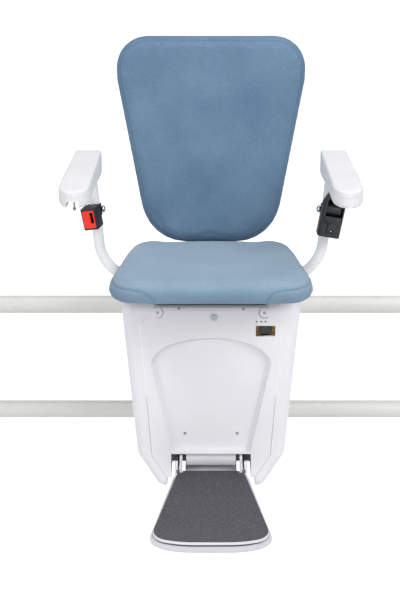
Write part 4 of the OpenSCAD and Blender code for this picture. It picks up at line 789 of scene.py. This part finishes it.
@dataclass
class Cushion:
    """A foam cushion in a tight velour cover, with side bands sewn to the face.

    The cushion has a frame of its own: its outline lies in the first two local axes, and the third
    is the depth, which grows from the board to the face. The lip fades out over a share of the length
    along, and over mm from the rim and up.
    """

    node: str
    body: str
    name: str
    origin: Point
    tilt_deg: float
    outline_shares: list[tuple[float, float]]
    radius_shares: list[float]
    half: float
    length: float
    up: tuple[int, int, int]
    finish: Palette
    seams: list[list[Point]] = field(default_factory=list)
    start: float = 0.0
    voxel: float = 5.0
    pressure: float = 4.0
    mass: float = 0.25
    stiffness: float = 40.0
    steps: int = 20
    cap: float = 8.0
    shrink: float = 0.6
    proud: float = 4.0
    clear: float = 0.4
    board_turn: float = -0.5
    evening: tuple[float, int] = (0.5, 5)
    lip: float = 0.0
    lip_reach: float = 38.0
    lip_share: float = 0.86
    lip_rise: float = 22.0
    lip_fades: Point = (0.1, 10.0, 14.0)
    rim_step: float = 12.0
    hang: float = 0.0
    hang_reach: float = 90.0
    band_turn: float = 0.75
    seam_step: float = 3.0
    seam_rounding: int = 8
    crease_mm: float = 0.9
    crease_width: float = 2.4
    stitched: bool = True

    def axes(self) -> np.ndarray:
        """Rows of the local axes: across, along the outline, and depth towards the face."""
        turn = math.radians(-self.tilt_deg)
        cos, sin = math.cos(turn), math.sin(turn)
        spin = np.array([[1, 0, 0], [0, cos, -sin], [0, sin, cos]])
        across, along, depth = (1, 0, 0), self.up, np.cross((1, 0, 0), self.up)
        return np.array([spin @ np.array(a, float) for a in (across, along, depth)])

    def to_frame(self, points: np.ndarray) -> np.ndarray:
        """Local points in mm as points of the row frame, in metres."""
        return (points @ self.axes() + np.array(self.origin)) * MM

    def to_local(self, points: np.ndarray) -> np.ndarray:
        """Points of the row frame, in metres, as local points in mm."""
        return (points / MM - np.array(self.origin)) @ self.axes().T

    def outline(self) -> np.ndarray:
        """The plan outline, as closely stepped points in mm."""
        half = [(x * self.half, self.start + y * self.length) for x, y in self.outline_shares]
        corners = np.array(half + [(-x, y) for x, y in half[::-1]])
        radii = [r * self.half for r in self.radius_shares]
        return rounded_outline(corners, radii + radii[::-1])

    def base(self) -> Piece:
        """The starting block: the node's solid, a little smaller, remeshed in even squares."""
        piece = node_copy(self.node, self.name)
        mesh = piece.data
        set_coordinates(mesh, coordinates(mesh) - rows(mesh.vertex_normals, "vector") * self.shrink * MM)
        remesh = piece.modifiers.new("even", "REMESH")
        remesh.mode = "VOXEL"
        remesh.voxel_size = self.voxel * MM
        return baked(piece)

    def inflate(self, piece: Piece) -> None:
        """Lets air pressure fill the cover, and caps how far any point may move."""
        rest = coordinates(piece.data)
        cloth = piece.modifiers.new("cloth", "CLOTH")
        cloth.settings.quality = 4
        cloth.settings.mass = self.mass
        cloth.settings.tension_stiffness = cloth.settings.compression_stiffness = self.stiffness
        cloth.settings.use_pressure = True
        cloth.settings.uniform_pressure_force = self.pressure
        cloth.settings.effector_weights.gravity = 0
        cloth.collision_settings.use_collision = False
        cloth.point_cache.frame_start, cloth.point_cache.frame_end = 1, self.steps
        for step in range(1, self.steps + 1):
            bpy.context.scene.frame_set(step)
            bpy.context.view_layer.update()
        depsgraph = bpy.context.evaluated_depsgraph_get()
        shift = coordinates(piece.evaluated_get(depsgraph).data) - rest
        piece.modifiers.clear()
        far = np.linalg.norm(shift, axis=1, keepdims=True)
        capped = shift * np.minimum(1, self.cap * MM / np.maximum(far, 1 / FAR))
        set_coordinates(piece.data, rest + capped)
        bpy.context.scene.frame_set(1)

    def settle(self, piece: Piece) -> None:
        """Keeps the filled cover between the cushion's own surface and a little proud of it.

        The cloth's tension draws the edges in, so a point that ended inside goes back to the surface.
        On the side of the board nothing stands proud.
        """
        space = node_copy(self.node, self.name + "_space")
        tree = BVHTree.FromObject(space, bpy.context.evaluated_depsgraph_get())
        toward = Vector(self.axes()[2])
        points = coordinates(piece.data)
        for i, point in enumerate(points):
            found, normal, _, _ = tree.find_nearest(Vector(point))
            away = Vector(point) - found
            signed = math.copysign(away.length, away.dot(normal))
            outward = away / signed if abs(signed) > 1e-7 else normal
            high = -self.clear if normal.dot(toward) < self.board_turn else self.proud
            points[i] = found + outward * min(max(signed, -self.clear * MM), high * MM)
        set_coordinates(piece.data, points)
        bpy.data.objects.remove(space)

    def wrap_front(self, piece: Piece) -> None:
        """Draws the cover's front rim down over the edge of the board."""
        points = coordinates(piece.data)
        local = self.to_local(points)
        ring = self.outline()
        rim = np.full(len(local), FAR)
        for a, b in zip(ring, np.roll(ring, -1, axis=0)):
            for share in np.linspace(0, 1, 2 + int(np.linalg.norm(b - a) / self.rim_step)):
                rim = np.minimum(rim, np.linalg.norm(local[:, :2] - a - (b - a) * share, axis=1))
        front = np.clip((-local[:, 1] / self.length - self.lip_share) / self.lip_fades[0], 0, 1)
        edge = np.clip((self.lip_reach - rim) / self.lip_fades[1], 0, 1)
        low = np.clip((local[:, 2].min() + self.lip_rise - local[:, 2]) / self.lip_fades[2], 0, 1)
        drop = self.lip * MM * front * edge * low
        set_coordinates(piece.data, points - drop[:, None] * self.axes()[2])

    def lower_end(self, piece: Piece) -> None:
        """Lets the cover's lower end hang a little below the foam."""
        points = coordinates(piece.data)
        share = np.clip(1 - (self.to_local(points)[:, 1] - self.start) / self.hang_reach, 0, 1)
        set_coordinates(piece.data, points - (self.hang * MM * share)[:, None] * self.axes()[1])

    def seam_lines(self) -> list[np.ndarray]:
        """Each seam as closely stepped local points in mm, from its corner points."""
        lines = []
        for seam in self.seams:
            points = np.array(seam, float)
            fine = []
            for a, b in zip(points, points[1:]):
                count = max(2, int(np.linalg.norm(b - a) / self.seam_step))
                fine += [a + (b - a) * k / count for k in range(count)]
            smooth = np.array(fine + [points[-1]])
            for _ in range(self.seam_rounding):
                inner = (smooth[:-2] + 2 * smooth[1:-1] + smooth[2:]) / 4
                smooth = np.concatenate([smooth[:1], inner, smooth[-1:]])
            lines.append(smooth)
        return lines

    def mark_band_shade(self, mesh: Mesh) -> None:
        """Marks where the cover turns from the face to its side bands, for painted shade that deepens as the
        surface turns further from the face.
        """
        facing = rows(mesh.vertex_normals, "vector") @ self.axes()[2]
        mark(mesh, "band_painted_shade", np.clip((self.band_turn - facing) / self.band_turn, 0, 1))

    def press_seams(self, piece: Piece) -> list[np.ndarray]:
        """Draws the cover in along its seams, and marks them for the painted shade along the seams.

        Args:
            piece: The cover.

        Returns:
            The seams as lines of points in metres, on the cover.
        """
        tree = BVHTree.FromObject(piece, bpy.context.evaluated_depsgraph_get())
        seams = [self.to_frame(line) for line in self.seam_lines()]
        lines = [np.array([tree.find_nearest(Vector(point))[0] for point in line]) for line in seams]
        points = coordinates(piece.data)
        near = np.full(len(points), FAR)
        for point in np.concatenate(lines):
            near = np.minimum(near, np.linalg.norm(points - point, axis=1))
        share = np.exp(-((near / (self.crease_width * MM)) ** 2))
        inward = rows(piece.data.vertex_normals, "vector") * (share * self.crease_mm * MM)[:, None]
        set_coordinates(piece.data, points - inward)
        # The seam mark carries painted shade in the pressed creases.
        mark(piece.data, "seam", share**2)
        return lines

    def stitch(self, lines: list[np.ndarray]) -> None:
        """Runs a row of stitches along each seam."""
        for i, line in enumerate(lines):
            mesh = bpy.data.meshes.new(f"{self.name}_seam_{i}")
            mesh.from_pydata(line.tolist(), [(k, k + 1) for k in range(len(line) - 1)], [])
            row = detailer.run(TreeKind.STITCHES, mesh, f"{self.name}_stitches_{i}", Palette.THREAD)
            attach(row, self.body)

    def build(self) -> None:
        """Makes the cover, fills it, sews it and puts it in place of the node."""
        piece = self.base()
        self.inflate(piece)
        self.settle(piece)
        if self.lip > 0:
            self.wrap_front(piece)
        if self.hang > 0:
            self.lower_end(piece)
        even = piece.modifiers.new("even", "SMOOTH")
        even.factor, even.iterations = self.evening
        finer = piece.modifiers.new("finer", "SUBSURF")
        finer.levels = finer.render_levels = 1
        baked(piece)
        lines = self.press_seams(piece)
        self.mark_band_shade(piece.data)
        piece.data.shade_smooth()
        paint(piece, self.finish)
        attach(piece, self.body)
        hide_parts(self.node)
        if self.stitched:
            self.stitch(lines)
        log.info("%s: %d points", self.name, len(piece.data.vertices))


# Rigid pieces


def by_name(groups: dict[Any, str]) -> dict[str, Any]:
    """The value of each name, from groups of names. A star stands for left and for right."""
    pairs = [(name, value) for value, names in groups.items() for name in names.split()]
    return {name.replace("*", side): value for name, value in pairs for side in ("left", "right")}


@dataclass
class RigidSet:
    """Nodes that keep their own solids: each gets a finish, and curved ones a smooth copy.

    The groups are given by finish, by width of the softened edges in mm, and by the angle in degrees
    past which an edge stays sharp.
    """

    finishes: dict[Palette, str] = field(
        default_factory=lambda: {
            Palette.RAIL: "upper_rail lower_rail",
            Palette.ZINC: "toothed_rack battery_tray",
            Palette.AXLE: "drive_pinion roller_axles swivel_post footrest_pins hinge_pins",
            Palette.FRAME: "chassis_frame swivel_plate seat_frame backrest_bracket",
            Palette.COVER: "front_cover *_side_cover foot_plate",
            Palette.BRACKET: "upper_bogie_bracket lower_bogie_bracket footrest_brackets",
            Palette.MOTOR: "drive_motor",
            Palette.CAST: "gearbox *_arm_hinge_block",
            Palette.BATTERY: "batteries",
            Palette.CIRCUIT: "control_board",
            Palette.LAMINATE: "switch_plate",
            Palette.GLOSS_BLACK: "switch_housing power_rocker",
            Palette.LAMP: "indicator_leds",
            Palette.SCREW: "centre_bolt",
            Palette.BEARING: "swivel_bearing",
            Palette.TYRE: "*_hanger_roller *_thrust_roller *_keeper_roller",
            Palette.TUBE: "*_arm_tube",
            Palette.SHELL: "backrest_shell",
            Palette.BLACK: "belt_brackets buckle_body reel_case reel_spool swivel_lever toggle_switch",
            Palette.BOARD_BASE: "seat_base",
            Palette.ARM: "*_arm_upper_shell *_arm_lower_shell",
            Palette.NICKEL: "toggle_lever",
            Palette.RED: "buckle_button",
            Palette.PAN: "safety_pan",
            Palette.GRIT: "grit_mat",
        }
    )
    bevels: dict[float, str] = field(
        default_factory=lambda: {
            0.3: "battery_tray toggle_lever drive_pinion",
            0.5: "footrest_brackets roller_axles",
            0.6: "chassis_frame toggle_switch swivel_post",
            0.8: "upper_bogie_bracket lower_bogie_bracket swivel_plate seat_frame backrest_bracket"
            " swivel_lever *_arm_hinge_block",
            1.2: "buckle_button",
            1.4: "buckle_body reel_case",
            2.0: "gearbox batteries",
            4.0: "backrest_shell",
        }
    )
    smooth: dict[float, str] = field(
        default_factory=lambda: {
            22: "front_cover *_side_cover",
            30: "power_rocker belt_brackets",
            32: "safety_pan",
            40: "*_arm_upper_shell *_arm_lower_shell",
        }
    )
    flat_deg: float = 0.4
    bend_deg: float = 1.5
    level: float = 0.97

    def keep_creases(self, mesh: Mesh) -> None:
        """Keeps a slight crease across a nearly level top as a line."""
        with edited(mesh) as work:
            for edge in work.edges:
                flat = len(edge.link_faces) == 2 and all(f.normal.z > self.level for f in edge.link_faces)
                if flat and edge.calc_face_angle() > math.radians(self.bend_deg):
                    edge.smooth = False

    def finer(self, node: str, finish: Palette, bevel: float, sharp_deg: float) -> None:
        """Puts a merged copy with softened edges in place of a node.

        Args:
            node: The node's name.
            finish: Its finish.
            bevel: Width of the softened edges in mm, or 0 to keep them.
            sharp_deg: Edges that bend more than this stay sharp.
        """
        body = frame["nodes"][node]["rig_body"]
        piece = node_copy(node, node + "_moulded")
        if bevel > 0:
            with edited(piece.data) as work:
                flat = math.radians(self.flat_deg)
                bmesh.ops.dissolve_limit(work, angle_limit=flat, verts=work.verts, edges=work.edges)
            edge = piece.modifiers.new("edge", "BEVEL")
            edge.width = bevel * MM
            edge.segments = 2
            edge.limit_method = "ANGLE"
            edge.angle_limit = math.radians(SHARP_DEG)
            baked(piece)
        smoothed(piece.data, sharp_deg)
        self.keep_creases(piece.data)
        if bevel == 0:
            piece.modifiers.new("even", "WEIGHTED_NORMAL").keep_sharp = True
            baked(piece)
        paint(piece, finish)
        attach(piece, body)
        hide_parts(node)

    def build(self) -> None:
        """Dresses every node."""
        finishes, bevels, angles = (by_name(groups) for groups in (self.finishes, self.bevels, self.smooth))
        for node, finish in finishes.items():
            if node in bevels or node in angles:
                self.finer(node, finish, bevels.get(node, 0), angles.get(node, SHARP_DEG))
            else:
                paint(frame["nodes"][node], finish)
        log.info("%d nodes dressed", len(finishes))


@dataclass
class Fasteners:
    """Screws and nuts that hold the carriage together."""

    head_r: float = 3.2
    head_t: float = 1.6
    nut_r: float = 8.5
    nut_t: float = 5.0
    bolt_r: float = 6.5
    bolt_t: float = 4.5
    top_screws: tuple[float, float] = (72.0, 110.0)

    def cover_screws(self) -> None:
        """Cross-recess screws in the covers, in place of the plain ones."""
        places = []
        for low, high in islands("cover_screws"):
            middle = (low + high) / 2
            places.append(((middle[0], low[1] + self.head_t / 2, middle[2]), (0, -1, 0)))
        across, up = self.top_screws
        upper = (landing("front_cover", (x, -500, up), (0, 1, 0)) for x in (-across, across))
        places += [(point + normal * self.head_t / 4, normal) for point, normal in filter(None, upper)]
        sizes = {"Head Radius": self.head_r * MM, "Head Height": self.head_t * MM}
        name = "cover_screw_heads"
        piece = detailer.run(TreeKind.SCREWS, facing_points(name, places), name, Palette.SCREW, sizes)
        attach(piece, "carriage")
        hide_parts("cover_screws")

    def axle_nuts(self) -> None:
        """Nuts and washers on the ends of the roller axles."""
        places = []
        for low, high in islands("roller_axles"):
            middle = (low + high) / 2
            way = int(np.argmax(high - low))
            for sign, end in ((-1, low), (1, high)):
                facing, place = np.zeros(3), middle.copy()
                facing[way], place[way] = sign, end[way]
                places.append((place, facing))
        sizes = {"Nut Radius": self.nut_r * MM, "Nut Height": self.nut_t * MM}
        mesh = facing_points("axle_nuts", places)
        piece = detailer.run(TreeKind.NUTS, mesh, "axle_nuts", Palette.ZINC, sizes)
        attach(piece, "carriage")

    def bolted(self, node: str, starts: list[Point], way: Point) -> None:
        """Hexagon nuts and washers where straight lines meet a node.

        Args:
            node: The node that they clamp.
            starts: Points outside the node, in mm.
            way: Direction of the lines.
        """
        met = list(filter(None, (landing(node, start, way) for start in starts)))
        log.info("%s: %d of %d nuts", node, len(met), len(starts))
        sizes = {"Nut Radius": self.bolt_r * MM, "Nut Height": self.bolt_t * MM}
        name = node + "_nuts"
        piece = detailer.run(TreeKind.NUTS, facing_points(name, met), name, Palette.ZINC, sizes)
        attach(piece, frame["nodes"][node]["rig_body"])

    def build(self) -> None:
        """Makes every fastener."""
        self.cover_screws()
        self.axle_nuts()
        strap = [(x, 150.0, z) for x in (-36.0, 36.0) for z in (300.0, 365.0)]
        self.bolted("backrest_bracket", strap, (0, -1, 0))
        chassis = [(x, 150.0, z) for x in (-118.0, 118.0) for z in (-236.0, -120.0, 20.0, 88.0)]
        self.bolted("chassis_frame", chassis, (0, -1, 0))
        board = [(x, y, 60.0) for x in (-70.0, 70.0) for y in (-180.0, -360.0)]
        self.bolted("seat_base", board, (0, 0, 1))


@dataclass
class Belt:
    """The belt's small fittings: bolt heads, the woven strap, and the stud that holds the tongue."""

    bolt_z: float = 308.0
    bolt_out: float = 262.5
    bolt_reach: float = 17.5
    bolt_y: float = -215.0
    dome_r: float = 8.0
    dome_t: float = 6.5
    flange: float = 1.6
    flange_t: float = 1.4
    lean_deg: float = 5.0
    reel_at: Point = (271.0, -253.0, 312.0)
    reel_lean_deg: float = 10.0
    reel_front: float = -22.5
    stud: tuple[float, float] = (2.0, -37.0)
    stud_r: float = 1.8
    stud_sink: float = 0.2

    def dome(self) -> list[tuple[float, float]]:
        """Profile of a round bolt head with a thin flange."""
        steps = [math.radians(a) for a in range(0, 91, 15)]
        wide, base = self.dome_r + self.flange, self.flange_t
        flange = [(0.0, 0.0), (wide, 0.0), (wide, base - 0.2), (self.dome_r, base)]
        bow = [(self.dome_r * math.cos(a), base + (self.dome_t - base) * math.sin(a)) for a in steps[1:-1]]
        return flange + bow + [(0.0, self.dome_t)]

    def bolts(self) -> None:
        """A round bolt head on the inner side of each arm tube."""
        for side, name in ((-1, "left"), (1, "right")):
            x = side * (self.bolt_out - self.bolt_reach)
            tilt = math.sin(math.radians(self.lean_deg))
            centre = (x, self.bolt_y, self.bolt_z + self.bolt_reach * tilt)
            head = lathe(name + "_belt_bolt", self.dome(), centre, (-side, 0, tilt))
            paint(head, Palette.DOME)
            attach(head, "seat_unit")

    def parking_stud(self) -> None:
        """The bright stud on the leaning reel that shows through the parked tongue."""
        turn, (across, up) = math.radians(self.reel_lean_deg), self.stud
        x = across * math.cos(turn) + up * math.sin(turn)
        z = -across * math.sin(turn) + up * math.cos(turn)
        base = np.array(self.reel_at) + np.array([x, self.reel_front + self.stud_sink, z])
        profile = [(0.0, 0.0), (self.stud_r, 0.0), (self.stud_r, 3.0), (self.stud_r * 0.6, 3.8), (0.0, 4.0)]
        head = lathe("parking_stud", profile, base, (0, -1, 0), 20)
        paint(head, Palette.DOME)
        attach(head, "seat_unit")

    def tongue(self) -> None:
        """The parked tongue: a coated steel plate on a loop of woven strap."""
        piece = node_copy("belt_tongue", "tongue_on_strap")
        for finish in (Palette.BLACK, Palette.WEBBING):
            piece.data.materials.append(finish.value.material())
        back = (self.reel_at[1] + self.reel_front) * MM
        for face in piece.data.polygons:
            face.material_index = int(face.center.y > back)
        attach(piece, "tongue")
        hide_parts("belt_tongue")

    def build(self) -> None:
        """Makes every fitting."""
        self.bolts()
        self.parking_stud()
        self.tongue()
        log.info("belt fitted")


@dataclass
class Footrest:
    """The grit on the footrest's mat: loose mineral grains sunk in the sheet."""

    density: float = 48000.0
    grain_r: float = 0.6
    edge: float = 3.0
    level: float = 0.9
    flat: float = 0.01

    def tread(self) -> Mesh:
        """The mat's upper face as a mesh of its own, drawn in from the edge."""
        piece = node_copy("grit_mat", "tread_face")
        mesh = piece.data
        bpy.data.objects.remove(piece)
        with edited(mesh) as work:
            sides = [f for f in work.faces if f.normal.z < self.level]
            bmesh.ops.delete(work, geom=sides, context="FACES")
            bmesh.ops.dissolve_limit(work, angle_limit=self.flat, verts=work.verts, edges=work.edges)
            bmesh.ops.inset_region(work, faces=work.faces, thickness=self.edge * MM, use_boundary=True)
            rim = [f for f in work.faces if any(e.is_boundary for e in f.edges)]
            bmesh.ops.delete(work, geom=rim, context="FACES")
        return mesh

    def build(self) -> None:
        """Scatters the grains."""
        sizes = {"Density": self.density, "Grain Radius": self.grain_r * MM}
        grains = detailer.run(TreeKind.GRAINS, self.tread(), "tread_grains", Palette.GRAIN, sizes)
        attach(grains, "footrest")
        log.info("%d points of grit", len(grains.data.vertices))


@dataclass
class Studio:
    """Plain pale floor, soft lamps and the camera of the photograph."""

    lens: float = 72.0
    sensor: float = 36.0
    long_side: int = 600
    middle_x: float = 200.0
    axis_x: float = 211.0
    camera_at: Point = (0.0, -2.839, 1.045)
    pitch_deg: float = 20.0
    floor_z: float = -0.62
    floor_half: float = 30.0
    floor_grey: float = 0.8
    glow: float = 0.72
    white: float = 1.0
    fill: float = 0.5
    fill_colour: Point = (0.97, 0.985, 1.0)

    def shown(self, tree: Tree, rays: str, plain: Node, bright: Node) -> Node:
        """Mixes what the camera sees with what lights the chair.

        Args:
            tree: The tree.
            rays: The other kind of rays that see what the camera sees.
            plain: What lights the chair.
            bright: What the camera sees.

        Returns:
            The mix.
        """
        path = add(tree, "ShaderNodeLightPath")
        kinds = {0: path.outputs["Is Camera Ray"], 1: path.outputs[rays]}
        seen = add(tree, "ShaderNodeMath", kinds, operation="MAXIMUM")
        return add(tree, "ShaderNodeMixShader", {0: seen, 1: plain, 2: bright})

    def camera(self) -> None:
        """Stands the camera where the photograph's was."""
        data = bpy.data.cameras.new("camera")
        data.lens = self.lens
        data.sensor_width = self.sensor
        data.shift_x = (self.middle_x - self.axis_x) / self.long_side
        data.clip_end = 100
        camera = bpy.data.objects.new("camera", data)
        camera.location = self.camera_at
        camera.rotation_euler = (math.radians(90 - self.pitch_deg), 0, 0)
        bpy.context.scene.collection.objects.link(camera)
        bpy.context.scene.camera = camera

    def floor(self) -> None:
        """A matt white floor, a little brighter to the camera so that it meets the white behind."""
        mesh = bpy.data.meshes.new("floor")
        half, z = self.floor_half, self.floor_z
        corners = [(-half, -half, z), (half, -half, z), (half, half, z), (-half, half, z)]
        mesh.from_pydata(corners, [], [(0, 1, 2, 3)])
        floor = new_piece("floor", mesh)
        made = bpy.data.materials.new("studio_floor")
        made.use_nodes = True
        tree = made.node_tree
        tree.nodes.clear()
        matt = add(tree, "ShaderNodeBsdfDiffuse", {"Color": (*[self.floor_grey] * 3, 1)})
        glow = add(tree, "ShaderNodeEmission", {"Color": (1, 1, 1, 1), "Strength": self.glow * self.white})
        both = add(tree, "ShaderNodeAddShader", {0: matt, 1: glow})
        mixed = self.shown(tree, "Is Glossy Ray", matt, both)
        add(tree, "ShaderNodeOutputMaterial", {"Surface": mixed})
        mesh.materials.append(made)

    def world(self) -> None:
        """Even light from all round, and plain white behind."""
        world = bpy.data.worlds.new("studio")
        world.use_nodes = True
        tree = world.node_tree
        tree.nodes.clear()
        fill = add(tree, "ShaderNodeBackground", {"Color": (*self.fill_colour, 1), "Strength": self.fill})
        back = add(tree, "ShaderNodeBackground", {"Color": (1, 1, 1, 1), "Strength": self.white})
        mixed = self.shown(tree, "Is Transmission Ray", fill, back)
        add(tree, "ShaderNodeOutputWorld", {"Surface": mixed})
        bpy.context.scene.world = world

    def lamp(self, name: str, at: Point, aim: Point, size: tuple[float, float], watts: float) -> None:
        """Hangs a soft rectangular lamp.

        Args:
            name: The lamp's name.
            at: Where it hangs.
            aim: Where it points.
            size: Its width and height.
            watts: Its power.
        """
        data = bpy.data.lights.new(name, "AREA")
        data.shape = "RECTANGLE"
        data.size, data.size_y = size
        data.energy = watts
        lamp = bpy.data.objects.new(name, data)
        lamp.location = at
        lamp.rotation_euler = (Vector(aim) - Vector(at)).to_track_quat("-Z", "Y").to_euler()
        bpy.context.scene.collection.objects.link(lamp)

    def build(self) -> None:
        """Sets up the whole studio."""
        bpy.context.scene.view_settings.view_transform = "Standard"
        self.camera()
        self.floor()
        self.world()
        self.lamp("key_softbox", (1.7, -2.5, 2.2), (0, -0.2, 0.0), (1.8, 1.4), 50)
        self.lamp("fill_softbox", (-1.9, -2.7, 1.2), (0, -0.2, -0.1), (1.8, 1.6), 24)
        self.lamp("top_softbox", (0, -0.4, 3.0), (0, -0.2, 0), (2.2, 1.6), 26)
        log.info("studio set")


def cushions() -> list[Cushion]:
    """The seat and the backrest, with the seams that the photographed chair has."""
    side = [(-176.0, -20.0, -6.0), (-194.0, -90.0, -4.5), (-207.0, -200.0, -4.5), (-214.0, -330.0, -4.5)]
    left_front = [(-207.0, -390.0, -5.0), (-189.0, -408.0, -8.0), (-160.0, -411.0, -13.0)]
    left_end = [(-140.0, -412.0, -18.0), (-128.0, -412.0, -26.0), (-118.0, -412.0, -42.0)]
    right_end = [(142.0, -412.0, -14.0), (126.0, -412.0, -22.0), (116.0, -412.0, -42.0)]
    mirrored = [(-x, y, z) for x, y, z in side + left_front]
    seat = Cushion(
        node="seat_cushion",
        body="seat_pad",
        name="seat_cover",
        origin=(0.0, -92.0, 200.0),
        tilt_deg=4.05,
        outline_shares=[(0.84, 0), (0.905, -0.23), (1, -0.8), (0.985, -0.985), (0.5, -1)],
        radius_shares=[0.2, 0.5, 0.5, 0.24, 1],
        half=218.0,
        length=410.0,
        up=(0, 1, 0),
        seams=[side + left_front + left_end, mirrored + right_end],
        finish=Palette.SEAT_VELOUR,
        lip=5.5,
    )
    back = Cushion(
        node="backrest_cushion",
        body="seat_unit",
        name="back_cover",
        origin=(0.0, -78.0, 200.0),
        tilt_deg=7.0,
        outline_shares=[(0.685, 0), (1, 0.793), (1.012, 1)],
        radius_shares=[0.48, 0.3, 0.33],
        half=222.0,
        length=482.0,
        start=-8.0,
        up=(0, 0, 1),
        finish=Palette.BACK_VELOUR,
        hang=7.0,
        crease_mm=0.5,
        stitched=False,
    )
    ring, depth = back.outline(), 9.0
    back.seams = [[(x, y, depth) for x, y in np.concatenate([ring, ring[:1]])[::3]]]
    return [seat, back]


def main() -> None:
    """Builds the studio and every sub-assembly."""
    logging.basicConfig(level=logging.INFO, format="%(name)s: %(message)s")
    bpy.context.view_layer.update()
    Studio().build()
    RigidSet().build()
    Fasteners().build()
    Belt().build()
    Footrest().build()
    for cushion in cushions():
        cushion.build()
    log.info("boxes written")


if __name__ == "__main__":
    main()
